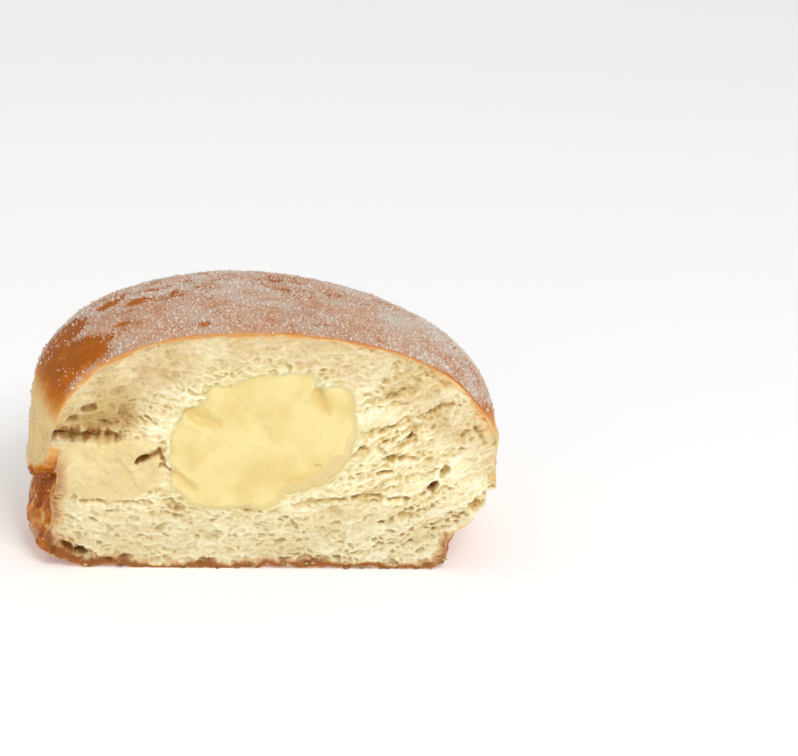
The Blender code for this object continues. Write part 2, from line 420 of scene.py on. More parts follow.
def behind_cut(flat: Array, depth: Array | float) -> Array:
    """Points from places on the cut plane, as x and z, and how far behind it they lie."""
    return np.stack([flat[:, 0], FORM.cut_y + depth + np.zeros(len(flat)), flat[:, 1]], -1)


# ---- the torn crumb on the cut face ----------------------------------------------------------

@dataclass(frozen=True)
class Pore:
    """A pore that can be told apart: place, half sizes, slant and depth."""

    x: float
    z: float
    half_length: float
    half_width: float
    slant: float
    depth: float

    def bowl(self, x: Array, z: Array) -> Array:
        """Depth at places on the cut: a round-bottomed bowl with an elongated mouth."""
        return self.depth * np.sqrt(np.clip(1.0 - self.squared(x, z), 0.0, None))

    def squared(self, x: Array, z: Array) -> Array:
        """Squared distance from the middle, 1 at the mouth's edge."""
        along, across = slanted(x - self.x, z - self.z, math.radians(self.slant))
        return (along / self.half_length) ** 2 + (across / self.half_width) ** 2


@dataclass(frozen=True)
class Stroke:
    """A groove between two places, or a ridge where depth is less than 0, with a half width a side."""

    start: tuple[float, float]
    end: tuple[float, float]
    above: float
    below: float
    depth: float

    def relief(self, x: Array, z: Array) -> Array:
        """Depth at places on the cut.

        Args:
            x: places on the cut plane.
            z: their heights.

        Returns:
            Millimetres, less than 0 on a ridge.
        """
        run = np.subtract(self.end, self.start)
        length = math.hypot(*run)
        along = ((x - self.start[0]) * run[0] + (z - self.start[1]) * run[1]) / length
        across = ((z - self.start[1]) * run[0] - (x - self.start[0]) * run[1]) / length
        half = np.where(across > 0.0, self.above, self.below)
        past = np.clip(np.maximum(-along, along - length), 0.0, None)
        return self.depth * bell(across, half) * bell(past, 0.5 * (self.above + self.below))


@dataclass(frozen=True)
class CellLayer:
    """One size of crumb cells: spacing, how long they are, and how deep the open ones lie.

    The fades say how much weaker the cells are under the crust, on smooth sheets and on lobes.
    """

    spacing: float
    slimness: tuple[float, float]
    open_share: float
    open_depth: tuple[float, float]
    shut_depth: tuple[float, float]
    wall: float
    seed: int
    fades: tuple[float, float, float]
    patchy: bool = False
    row_squeeze: float = 0.85
    scatter: float = 0.55
    size_spread: tuple[float, float] = (0.75, 1.3)
    slant_spread: float = 0.22
    warp: float = 0.3
    reach: float = 2.3


@dataclass
class Crumb:
    """The cut face's relief, worked out on a fine grid over the cut plane.

    Cells of three sizes lie along the dough's strands. Each has a thin wall round it, which stays
    near the cut, and a floor behind it. The channel, the smooth sheets and the large pores are laid
    over them.
    """

    step: float = 0.1
    half_wide: float = 46.5
    high: float = 50.0
    raggedness: float = 0.45
    climb: float = 30.0
    level: float = -6.0
    smear_slant: float = -35.0
    overhead_bend: float = 0.0125
    cell_depth: float = 0.85
    blur_steps: int = 7
    climbing_side: Ramp = Ramp(6.0, 22.0)
    torn_side: Ramp = Ramp(4.0, 18.0)
    crown: Ramp = Ramp(27.0, 35.0)
    area_border: Ramp = Ramp(0.75, 1.35)
    channel_x: tuple[float, float] = (-43.0, -27.8)
    channel_z: float = 26.4
    channel_half: float = 0.8
    channel_depth: float = 2.9
    arch: Pore = Pore(-33.5, 29.6, 7.5, 3.6, 8.0, 1.9)
    tongue: Pore = Pore(-31.5, 19.9, 11.2, 6.5, 0.0, 0.45)
    sheets: tuple[Pore, ...] = (
        Pore(20.5, 31.2, 5.0, 1.9, 22.0, 0.3),
        Pore(17.0, 11.6, 10.0, 1.6, 2.0, 0.4),
        Pore(33.0, 26.0, 3.4, 1.6, 10.0, 0.2),
        Pore(-36.5, 31.5, 3.0, 1.4, 60.0, -0.2),
    )
    layers: tuple[CellLayer, ...] = (
        CellLayer(2.8, (1.2, 2.4), 0.26, (0.6, 1.3), (0.0, 0.30), 0.55, 101, (0.8, 0.7, 0.8), True),
        CellLayer(1.45, (1.2, 2.3), 0.50, (0.35, 0.80), (0.05, 0.22), 0.50, 202, (0.55, 0.7, 0.6)),
        CellLayer(0.80, (1.1, 2.0), 0.55, (0.12, 0.28), (0.0, 0.08), 0.55, 303, (0.35, 0.4, 0.4)),
    )
    strokes: tuple[Stroke, ...] = (
        Stroke((17.2, 26.7), (25.4, 30.2), 0.8, 0.4, 0.9),
        Stroke((17.4, 33.8), (26.6, 36.8), 0.9, 0.5, 0.7),
        Stroke((30.1, 32.2), (33.6, 34.0), 0.9, 0.5, 1.0),
        Stroke((22.4, 22.2), (27.3, 22.6), 0.7, 0.5, 0.9),
        Stroke((4.5, 13.0), (16.0, 14.3), 0.5, 0.6, 0.7),
        Stroke((16.0, 14.3), (26.6, 14.6), 0.4, 0.6, 0.9),
        Stroke((23.6, 9.6), (27.2, 12.8), 0.5, 0.5, 0.7),
        Stroke((38.4, 28.9), (40.2, 26.4), 0.6, 0.5, 0.8),
        Stroke((-36.3, 13.4), (-23.0, 13.0), 0.25, 0.5, 0.7),
        Stroke((12.0, 22.0), (17.5, 24.4), 0.6, 0.5, 0.7),
        Stroke((-23.5, 39.8), (-19.0, 36.6), 0.6, 0.5, 0.3),
        Stroke((-35.5, 22.6), (-31.0, 18.4), 0.5, 0.9, 0.3),
        Stroke((-29.5, 22.0), (-26.0, 16.8), 0.5, 0.9, 0.3),
    )
    pores: tuple[Pore, ...] = (
        Pore(26.4, 27.2, 1.3, 0.8, 70.0, 2.6),
        Pore(31.5, 16.9, 1.5, 0.8, 60.0, 3.4),
        Pore(33.2, 20.0, 1.5, 0.8, 72.0, 1.9),
        Pore(-19.8, 38.6, 1.5, 1.2, 25.0, 1.3),
        Pore(20.3, 38.2, 1.1, 0.8, -15.0, 1.2),
        Pore(26.5, 40.0, 1.2, 0.7, 10.0, 1.0),
        Pore(-28.8, 30.6, 1.1, 2.0, 0.0, 1.7),
        Pore(-30.6, 35.2, 1.9, 1.2, 10.0, 1.5),
        Pore(-35.3, 31.4, 1.8, 1.3, 20.0, 2.0),
        Pore(-38.3, 29.0, 1.4, 0.9, 10.0, 1.7),
        Pore(-32.4, 28.6, 1.6, 0.8, -8.0, 1.5),
        Pore(-36.6, 34.6, 1.1, 0.7, 40.0, 1.0),
        Pore(-35.0, 9.1, 1.0, 0.8, -10.0, 1.1),
        Pore(-31.6, 8.3, 1.3, 0.6, -20.0, 1.0),
        Pore(-27.6, 9.2, 1.1, 0.8, -40.0, 1.0),
        Pore(-36.2, 5.8, 2.3, 0.7, -36.0, 1.4),
        Pore(-31.1, 6.0, 1.6, 0.7, -12.0, 1.1),
        Pore(-32.0, 4.3, 1.3, 0.7, -10.0, 1.1),
        Pore(-20.8, 12.1, 1.4, 0.7, 3.0, 1.2),
        Pore(-19.1, 7.7, 1.9, 0.5, 5.0, 0.9),
        Pore(-16.5, 5.1, 1.2, 0.6, 10.0, 1.0),
        Pore(-38.2, 3.9, 1.9, 0.7, -32.0, 2.6),
        Pore(-35.6, 3.0, 1.9, 0.8, -14.0, 3.2),
    )
    tears: tuple[Stroke, ...] = (
        Stroke((-25.8, 21.3), (-24.4, 22.1), 0.45, 0.4, 1.6),
        Stroke((-24.2, 22.3), (-22.2, 23.4), 0.7, 0.8, 0.8),
        Stroke((-22.0, 23.4), (-20.9, 21.2), 0.6, 0.6, 0.7),
        Stroke((-21.8, 20.8), (-19.4, 19.6), 0.4, 0.35, 0.7),
    )
    # Pores that get dark brown as painted shadow: number, strength and tightness.
    shaded_pores: tuple[tuple[int, float, float], ...] = (
        (0, 0.75, 1.0),
        (1, 0.75, 1.0),
        (2, 0.35, 1.0),
        (-2, 1.0, 0.8),
        (-1, 1.0, 0.8),
    )

    def __post_init__(self) -> None:
        """Works out the whole relief, and the tints and painted shade that go with it."""
        columns = np.arange(-self.half_wide, self.half_wide + self.step, self.step)
        rows = np.arange(0.0, self.high + self.step, self.step)
        self.grid_x, self.grid_z = np.meshgrid(columns, rows)
        self.wall = on_wall(self.grid_x, self.grid_z)
        self.ragged_x = self.grid_x + self.raggedness * cloud(self.wall, 1.5, 81, 3)
        self.ragged_z = self.grid_z + self.raggedness * cloud(self.wall, 1.5, 83, 3)
        self.folds = self.drawn(3.0, 0.30, 171)
        self.strands = self.threads()
        self.depth = self.relief()
        self.shade = self.shading()
        self.scorch = self.shaded_and_scorched()
        self.tan = self.toasted_and_shaded()
        self.wet = 0.55 * self.share_of(self.tongue)

    def shading(self) -> Array:
        """Painted shade, 0 to 1, partly real tan: in pits and between folds, less on strands and sheets."""
        # Painted shade: deeper places, pits and the valleys between folds come out darker; raised strands
        # and smooth sheets come out lighter, as painted highlight and painted sheen.
        hollowness = self.depth - blurred(self.depth, self.blur_steps)
        sheen = 0.10 * sum(self.share_of(sheet) for sheet in self.sheets)
        valleys = 0.13 * rise(-self.folds, 0.05, 0.55) * (1.0 - 0.6 * self.crown.at(self.grid_z))
        valleys = valleys * (0.5 + 0.5 * rise(self.grid_x, 8.0, 24.0))
        tone = 0.22 + valleys - 0.10 * (self.strands - 0.5) - sheen
        return np.clip(tone + (self.depth - 0.8) / 4.5 + 0.42 * hollowness, 0.0, 1.0)

    def flow(self, x: Array, z: Array) -> Array:
        """Direction of the strands, in radians over +X.

        Args:
            x: places on the cut plane.
            z: their heights.

        Returns:
            The directions.
        """
        climb = self.climb * self.climbing_side.at(x) * rise(z, 5.0, 16.0)
        dip = -22.0 * rise(-x, 22.0, 32.0) * fall(z, 12.0, 18.0)
        under_crust = rise(z + 0.006 * x * x, 39.0, 45.0)
        angle = (climb + dip) * (1.0 - under_crust) - 1.05 * x * under_crust
        return np.radians(angle + 12.0 * cloud(on_wall(x, z), 9.0, 41, 2))

    def cells(self, layer: CellLayer) -> tuple[Array, Array]:
        """Rasters one layer of cells.

        Args:
            layer: the cells' sizes.

        Returns:
            How far each grid point is from its cell's wall, from 0 on it, and its cell's depth.
        """
        dice = np.random.default_rng(layer.seed)
        first = np.full(self.grid_x.shape, 9.0)
        second = np.full(self.grid_x.shape, 9.0)
        floor = np.zeros(self.grid_x.shape)
        places = np.meshgrid(np.arange(-self.half_wide, self.half_wide, layer.spacing),
                             np.arange(0.0, self.high, layer.spacing * layer.row_squeeze))
        seeds = np.stack([p.ravel() for p in places], -1)
        seeds = seeds + dice.uniform(-layer.scatter, layer.scatter, seeds.shape) * layer.spacing
        slants = self.flow(*seeds.T) + dice.normal(0.0, layer.slant_spread, len(seeds))
        slim = dice.uniform(*layer.slimness, len(seeds))
        size = layer.spacing * dice.uniform(*layer.size_spread, len(seeds))
        is_open = dice.random(len(seeds)) < layer.open_share
        floors = np.where(is_open, dice.uniform(*layer.open_depth, len(seeds)),
                          dice.uniform(*layer.shut_depth, len(seeds)))
        warped_x, warped_z = (
            grid + layer.warp * layer.spacing * cloud(self.wall, 1.3 * layer.spacing, seed, 2)
            for grid, seed in ((self.grid_x, layer.seed), (self.grid_z, layer.seed + 5)))
        reach = int(layer.reach * layer.spacing / self.step) + 2
        for (x, z), slant, thin, wide, bottom in zip(seeds, slants, slim, size, floors):
            column = int(round((x + self.half_wide) / self.step))
            row = int(round(z / self.step))
            window = (slice(max(row - reach, 0), row + reach + 1),
                      slice(max(column - reach, 0), column + reach + 1))
            if first[window].size == 0:
                continue
            along, across = slanted(warped_x[window] - x, warped_z[window] - z, slant)
            far = np.hypot(along / math.sqrt(thin), across * math.sqrt(thin)) / wide
            nearest, runner_up, owner = first[window], second[window], floor[window]
            closer = far < nearest
            runner_up[...] = np.where(closer, nearest, np.minimum(runner_up, far))
            owner[...] = np.where(closer, bottom, owner)
            nearest[...] = np.minimum(nearest, far)
        return second - first, floor

    def share_of(self, area: Pore) -> Array:
        """How much each grid point belongs to an area, from 0 to 1, with a ragged border."""
        border = area.squared(self.ragged_x, self.ragged_z) ** 1.5
        return 1.0 - self.area_border.at(border + 0.2 * cloud(self.wall, 4.0, 47, 3))

    def drawn(self, size: float, squeeze: float, seed: int) -> Array:
        """Noise drawn out along the strands: climbing on the right, nearly level elsewhere.

        Args:
            size: its spacing across the strands in millimetres.
            squeeze: that spacing as a share of the one along them.
            seed: which noise this is.

        Returns:
            Values of roughly -1 to 1 on the whole grid.
        """
        climbing = self.climbing_side.at(self.ragged_x)
        total = np.zeros_like(climbing)
        kinds = ((self.climb, climbing, seed), (self.level, 1.0 - climbing, seed + 2))
        for angle, weight, number in kinds:
            along, across = slanted(self.ragged_x, self.ragged_z, math.radians(angle))
            total += weight * cloud(on_wall(squeeze * along, across), size, number, 2)
        return total

    def threads(self) -> Array:
        """Fine torn threads and finer fibres along the flow, from 0 to about 1."""
        coarse, fine = (np.clip(1.0 - np.abs(noise), 0.0, 1.0) ** 3
                        for noise in (self.drawn(1.7, 0.30, 131), self.drawn(0.62, 0.25, 136)))
        return coarse + 0.5 * fine

    def as_if_level(self) -> Array:
        """Heights on the grid, bent so that the crust overhead lies level."""
        return self.grid_z + self.overhead_bend * self.grid_x ** 2

    def torn_relief(self) -> Array:
        """Depth from folds, cells and strands, before anything that has a place of its own."""
        x, z = self.grid_x, self.grid_z
        under_crust = rise(self.as_if_level(), 39.0, 45.0) * (1.0 - 0.6 * rise(x, 8.0, 20.0))
        torn = 0.5 + 0.5 * self.torn_side.at(x)
        lobes = torn * rise(self.folds, 0.0, 0.5) * (1.0 - 0.5 * under_crust)
        valleys = torn * rise(-self.folds, 0.1, 0.6) * (1.0 - 0.7 * under_crust)
        valleys = valleys * (1.0 - 0.5 * rise(x, 30.0, 38.0)) * (1.0 - 0.6 * self.crown.at(z))
        covers = [self.share_of(sheet) for sheet in self.sheets]
        calm = np.maximum.reduce(covers)
        total = 0.35 + sum(cover * sheet.depth for cover, sheet in zip(covers, self.sheets))
        total = total - 0.22 * lobes + 0.34 * valleys * (1.0 - 0.7 * calm)
        patches = 0.35 + 0.65 * rise(cloud(self.wall, 11.0, 61, 2), -0.45, 0.45)
        low_right = rise(x, 14.0, 22.0) * fall(z, 8.0, 16.0)
        patches = np.maximum(patches, 0.85 * low_right)
        lively = 1.0 + 0.6 * rise(x, 10.0, 20.0) * fall(z, 12.0, 18.0)
        for layer in self.layers:
            strength = patches if layer.patchy else lively
            for fade, where in zip(layer.fades, (under_crust, calm, lobes)):
                strength = strength * (1.0 - fade * where)
            from_wall, floor = self.cells(layer)
            total = total + self.cell_depth * strength * floor * rise(from_wall, 0.0, layer.wall)
        strand_relief = (0.24 + 0.10 * self.torn_side.at(x)) * lively
        strand_relief = strand_relief * (1.0 - 0.35 * calm) * (1.0 - 0.45 * under_crust)
        total = total - strand_relief * self.strands
        return total + 0.10 * cloud(self.wall, 1.2, 71, 3) + 0.38 * cloud(self.wall, 8.0, 73, 2)

    def smears(self) -> Array:
        """Depth of the tongue, which the filling's nozzle left smooth."""
        along, across = slanted(self.grid_x, self.grid_z, math.radians(self.smear_slant))
        brushed = on_wall(0.35 * along, across)
        total = 0.6 + 0.18 * cloud(brushed, 2.0, 91, 4) + 0.22 * cloud(self.wall, 6.0, 93, 2)
        return total - 0.08 * self.strands - 0.08 * np.abs(cloud(brushed, 0.9, 95, 2))

    def relief(self) -> Array:
        """Depth of the crumb behind the cut plane on the whole grid, in millimetres."""
        total = self.torn_relief()
        for stroke in self.strokes:
            total = total + stroke.relief(self.ragged_x, self.ragged_z)
        tongue = self.share_of(self.tongue)
        total = (self.tongue.depth + total) * (1.0 - tongue) + self.smears() * tongue
        for tear in (*self.tears, *self.strokes[-2:]):
            total = total + tear.relief(self.ragged_x, self.ragged_z)
        grit = 0.1 + 0.3 * cloud(self.wall, 1.0, 75, 3)
        for pore in self.pores:
            bowl = pore.bowl(self.ragged_x, self.ragged_z)
            total = np.where(bowl > 0.0, np.maximum(total, bowl + grit), total)
        arch = np.exp(-self.arch.squared(self.grid_x, self.grid_z)) * self.over_channel()
        return np.maximum(total + self.arch.depth * arch, self.channel_depth * self.channel())

    def over_channel(self) -> Array:
        """1 above the channel and 0 below it."""
        return rise(self.grid_z, self.channel_z - 0.6, self.channel_z + 0.4)

    def channel(self) -> Array:
        """How much each grid point belongs to the channel's slit, from 0 to 1."""
        along = rise(self.channel_x[1] - self.grid_x, 0.0, 3.0)
        return along * self.slit(self.ragged_x, self.ragged_z)

    def slit(self, x: Array, z: Array) -> Array:
        """The slit's profile across its wavy middle line.

        Args:
            x: places on the cut plane.
            z: their heights.

        Returns:
            1 on the middle line, and less away from it.
        """
        waves = 0.3 * np.sin((x - self.channel_x[0]) / 2.6) + 0.7 * cloud(on_wall(x, z), 3.4, 139, 3)
        centre = self.channel_z + waves
        half = self.channel_half * (1.0 + 0.7 * cloud(on_wall(x, 0.0 * x), 2.6, 137, 3))
        return np.exp(-np.abs((z - centre) / np.where(z > centre, 1.25, 0.9) / half) ** 1.8)

    def hollow(self) -> Array:
        """How much painted shade darkens the hollow crumb over the channel, in mottles."""
        inside = np.exp(-0.7 * self.arch.squared(self.grid_x, self.grid_z) ** 2) * self.over_channel()
        return inside * (0.78 + 0.42 * cloud(self.wall, 3.5, 151, 3))

    def shaded_and_scorched(self) -> Array:
        """How dark brown each point is: painted shadow in slit, tears, pores and hollow; real crust spots.
        """
        x, z = self.grid_x, self.grid_z
        upper = 1.4 + 1.2 * rise(-x, 34.0, 38.0)
        away = (z - self.channel_z) / np.where(z > self.channel_z, upper, 1.3)
        fringe = 0.75 + 0.7 * cloud(self.wall * np.array([1.0, 1.0, 0.3]), 0.8, 141, 2)
        slit = rise(self.channel_x[1] + 0.8 - x, 0.0, 2.5) * np.exp(-away ** 2) * fringe
        spots = rise(cloud(self.wall, 1.9, 167, 3), 0.25, 0.75) * fall(z, 0.8, 2.0)
        darks = [0.85 * slit, 0.85 * spots, 0.42 * self.hollow()]
        for tear in self.tears:
            darks.append(np.clip(0.95 * tear.relief(self.ragged_x, self.ragged_z), 0.0, 0.9))
        for number, strength, tightness in self.shaded_pores:
            squared = self.pores[number].squared(self.ragged_x, self.ragged_z)
            darks.append(strength * np.exp(-tightness * squared))
        return np.clip(np.maximum.reduce(darks), 0.0, 1.0)

    def toasted_and_shaded(self) -> Array:
        """Tan at each point: painted shade in the hollow; real at both sides, on the tongue and under the
        crust.
        """
        x, z = self.grid_x, self.grid_z
        left_edge = 0.9 * fall(x + 0.8 * cloud(self.wall, 2.5, 147, 3), -41.5, -37.5)
        left_edge = left_edge * fall(z, 22.0, 26.0)
        outwards = x - 0.18 * np.abs(z - 24.0) ** 1.2 + cloud(self.wall, 3.0, 149, 3)
        right_edge = 0.3 * rise(outwards, 37.0, 42.0)
        tongue = 0.46 * self.share_of(self.tongue) * (0.8 + 0.5 * cloud(self.wall, 4.0, 157, 3))
        under_top = 0.55 * rise(self.as_if_level(), 37.0, 43.5)
        upper_left = 0.17 * rise(-x, 10.0, 22.0) * rise(z, 27.0, 33.0)
        low = 0.18 * fall(z, 10.0, 18.0)
        broad = (under_top + upper_left + low) * (0.85 + 0.4 * cloud(self.wall, 4.0, 159, 2))
        parts = (self.hollow(), left_edge, right_edge, tongue, broad)
        return np.clip(np.maximum.reduce(parts), 0.0, 1.0)

    def read(self, values: Array, x: Array, z: Array) -> Array:
        """Values of a grid between its points.

        Args:
            values: numbers on the grid.
            x: places on the cut plane.
            z: their heights.

        Returns:
            The values there.
        """
        across = np.clip((x + self.half_wide) / self.step, 0, values.shape[1] - 1.001)
        up = np.clip(z / self.step, 0, values.shape[0] - 1.001)
        column, row = across.astype(int), up.astype(int)
        right, above = across - column, up - row
        low = values[row, column] * (1 - right) + values[row, column + 1] * right
        top = values[row + 1, column] * (1 - right) + values[row + 1, column + 1] * right
        return low * (1 - above) + top * above


# ---- meshes from rings -----------------------------------------------------------------------

def ring_angles(count: int) -> Array:
    """Angles round the Y axis from +X, closer together at the two sides, where the fold runs."""
    turn = np.linspace(0.0, FULL_TURN, count, endpoint=False)
    return turn - 0.25 * np.sin(2.0 * turn)


@dataclass
class Shell:
    """Collects rings of points and the triangles between them, and makes a closed mesh."""

    points: list[Array] = field(default_factory=list)
    paints: list[dict[str, Array]] = field(default_factory=list)
    triangles: list[Array] = field(default_factory=list)
    finishes: list[Array] = field(default_factory=list)
    count: int = 0

    def add(self, places: Array, paint: dict[str, Array] | None = None) -> Array:
        """Adds points, with what their material reads there, and returns their numbers.

        Args:
            places: rows of x, y and z in millimetres.
            paint: numbers for each point, by name.

        Returns:
            The points' numbers.
        """
        self.points.append(places)
        self.paints.append(paint or {})
        self.count += len(places)
        return np.arange(self.count - len(places), self.count)

    def face(self, corners: Array, finish: int) -> None:
        """Adds triangles, given as rows of three point numbers, with one finish."""
        self.triangles.append(corners)
        self.finishes.append(np.full(len(corners), finish))

    def fan(self, tip: Array, here: Array, beyond: Array, finish: int) -> None:
        """Adds the triangles of a ring that meet in a tip: here and beyond are the ring's sides."""
        self.face(np.stack([np.full(len(here), tip[0]), here, beyond], -1), finish)

    def join(self, before: Array, here: Array, finish: int) -> Array:
        """Joins a tip or a ring to the next ring, and returns that ring."""
        if len(before) == 1:
            self.fan(before, here, np.roll(here, -1), finish)
        else:
            self.bridge(before, here, finish)
        return here

    def close(self, before: Array, place: Array, finish: int) -> None:
        """Closes the last ring with a tip."""
        self.fan(self.add(place), np.roll(before, -1), before, finish)

    def bridge(self, here: Array, beyond: Array, finish: int) -> None:
        """Joins two rings, one of which may have several times as many points as the other.

        Args:
            here: one ring's point numbers.
            beyond: the next ring's.
            finish: the material slot of the triangles.
        """
        if len(here) < len(beyond):
            coarse, fine, turned = here, beyond, False
        else:
            coarse, fine, turned = beyond, here, True
        ratio = len(fine) // len(coarse)
        fine_after, coarse_after = np.roll(fine, -1), np.roll(coarse, -1)
        owner = np.arange(len(fine)) // ratio
        late = (np.arange(len(fine)) % ratio) >= (ratio + 1) // 2
        anchor = np.where(late, coarse_after[owner], coarse[owner])
        rims = np.stack([anchor, fine, fine_after], -1)
        middle = fine_after[np.arange(len(coarse)) * ratio + (ratio + 1) // 2 - 1]
        spans = np.stack([coarse, middle, coarse_after], -1)
        for part in (rims, spans):
            self.face(part[:, ::-1] if turned else part, finish)

    def mesh(self, name: str) -> bpy.types.Mesh:
        """Makes the mesh in metres, with its faces pointing out.

        Args:
            name: the mesh's name.

        Returns:
            The mesh, with what its materials read.
        """
        places = np.concatenate(self.points)
        corners = np.concatenate(self.triangles)
        a, b, c = (places[corners[:, k]] for k in range(3))
        if np.einsum("ij,ij->", a, np.cross(b, c)) < 0.0:
            corners = corners[:, ::-1]
        mesh = mesh_from(name, places * MM, corners)
        mesh.polygons.foreach_set("material_index", np.concatenate(self.finishes).astype(np.int32))
        for key in dict.fromkeys(key for paint in self.paints for key in paint):
            parts = [paint.get(key, np.zeros(len(part))) for paint, part in zip(self.paints, self.points)]
            paint_points(mesh, key, np.concatenate(parts))
        mesh.shade_smooth()
        return mesh


def mesh_from(name: str, places: Array, corners: Array) -> bpy.types.Mesh:
    """Makes a mesh from points and the faces between them.

    Args:
        name: the mesh's name.
        places: its points in metres.
        corners: point numbers, one row for each face, all rows equally long.

    Returns:
        The mesh.
    """
    mesh = bpy.data.meshes.new(name)
    mesh.vertices.add(len(places))
    mesh.vertices.foreach_set("co", places.astype(np.float32).ravel())
    mesh.loops.add(corners.size)
    mesh.loops.foreach_set("vertex_index", corners.astype(np.int32).ravel())
    mesh.polygons.add(len(corners))
    starts = np.arange(0, corners.size, corners.shape[1], dtype=np.int32)
    mesh.polygons.foreach_set("loop_start", starts)
    mesh.update(calc_edges=True)
    mesh.validate()
    return mesh


def joined(name: str, shapes: Array, numbers: Array) -> bpy.types.Mesh:
    """Makes one mesh of many small bodies, and keeps their corners above the ground.

    Args:
        name: the mesh's name.
        shapes: each body's corners in millimetres.
        numbers: each body's faces, as numbers of its own corners.

    Returns:
        The mesh.
    """
    count, corners = shapes.shape[:2]
    shapes[..., 2] = np.maximum(shapes[..., 2], 0.0)
    numbers = numbers + (np.arange(count) * corners)[:, None, None]
    return mesh_from(name, shapes.reshape(-1, 3) * MM, numbers.reshape(-1, numbers.shape[-1]))


def paint_points(mesh: bpy.types.Mesh, name: str, values: Array) -> None:
    """Stores a number at each of the mesh's points for its material to read."""
    layer = mesh.attributes.new(name, "FLOAT", "POINT")
    layer.data.foreach_set("value", values.astype(np.float32))


def show(mesh: bpy.types.Mesh, name: str, finishes: list[bpy.types.Material]) -> bpy.types.Object:
    """Puts a mesh in the scene with its materials.

    Args:
        mesh: the piece's mesh.
        name: the piece's name.
        finishes: its materials, in the order of its slots.

    Returns:
        The piece.
    """
    piece = bpy.data.objects.new(name, mesh)
    for finish in finishes:
        mesh.materials.append(finish)
    bpy.context.scene.collection.objects.link(piece)
    return piece


# ---- shader maths as expressions -------------------------------------------------------------

class Wire:
    """A number that flows through a material; operators on it add Math nodes."""

    def __init__(self, paint: "Paint", socket: bpy.types.NodeSocket) -> None:
        """Wraps an output socket of a material's tree.

        Args:
            paint: the material.
            socket: the socket that gives the number.
        """
        self.paint = paint
        self.socket = socket

    def _with(self, operation: str, *others: "Wire | float", first: bool = True) -> "Wire":
        """Adds one Math node with this number first, or last where first is False."""
        values = [self, *others] if first else [*others, self]
        return self.paint.add("ShaderNodeMath", {"operation": operation}, dict(enumerate(values)))

    def __add__(self, other: "Wire | float") -> "Wire":
        """Sum."""
        return self._with("ADD", other)

    __radd__ = __add__

    def __mul__(self, other: "Wire | float") -> "Wire":
        """Product."""
        return self._with("MULTIPLY", other)

    __rmul__ = __mul__

    def __sub__(self, other: "Wire | float") -> "Wire":
        """Difference."""
        return self._with("SUBTRACT", other)

    def __rsub__(self, other: "Wire | float") -> "Wire":
        """Difference from a number."""
        return self._with("SUBTRACT", other, first=False)

    def step(self, low: float, high: float) -> "Wire":
        """Rises smoothly from 0 at low to 1 at high."""
        settings = {"interpolation_type": "SMOOTHSTEP"}
        return self.paint.add("ShaderNodeMapRange", settings,
                              {"Value": self, "From Min": low, "From Max": high}, "Result")


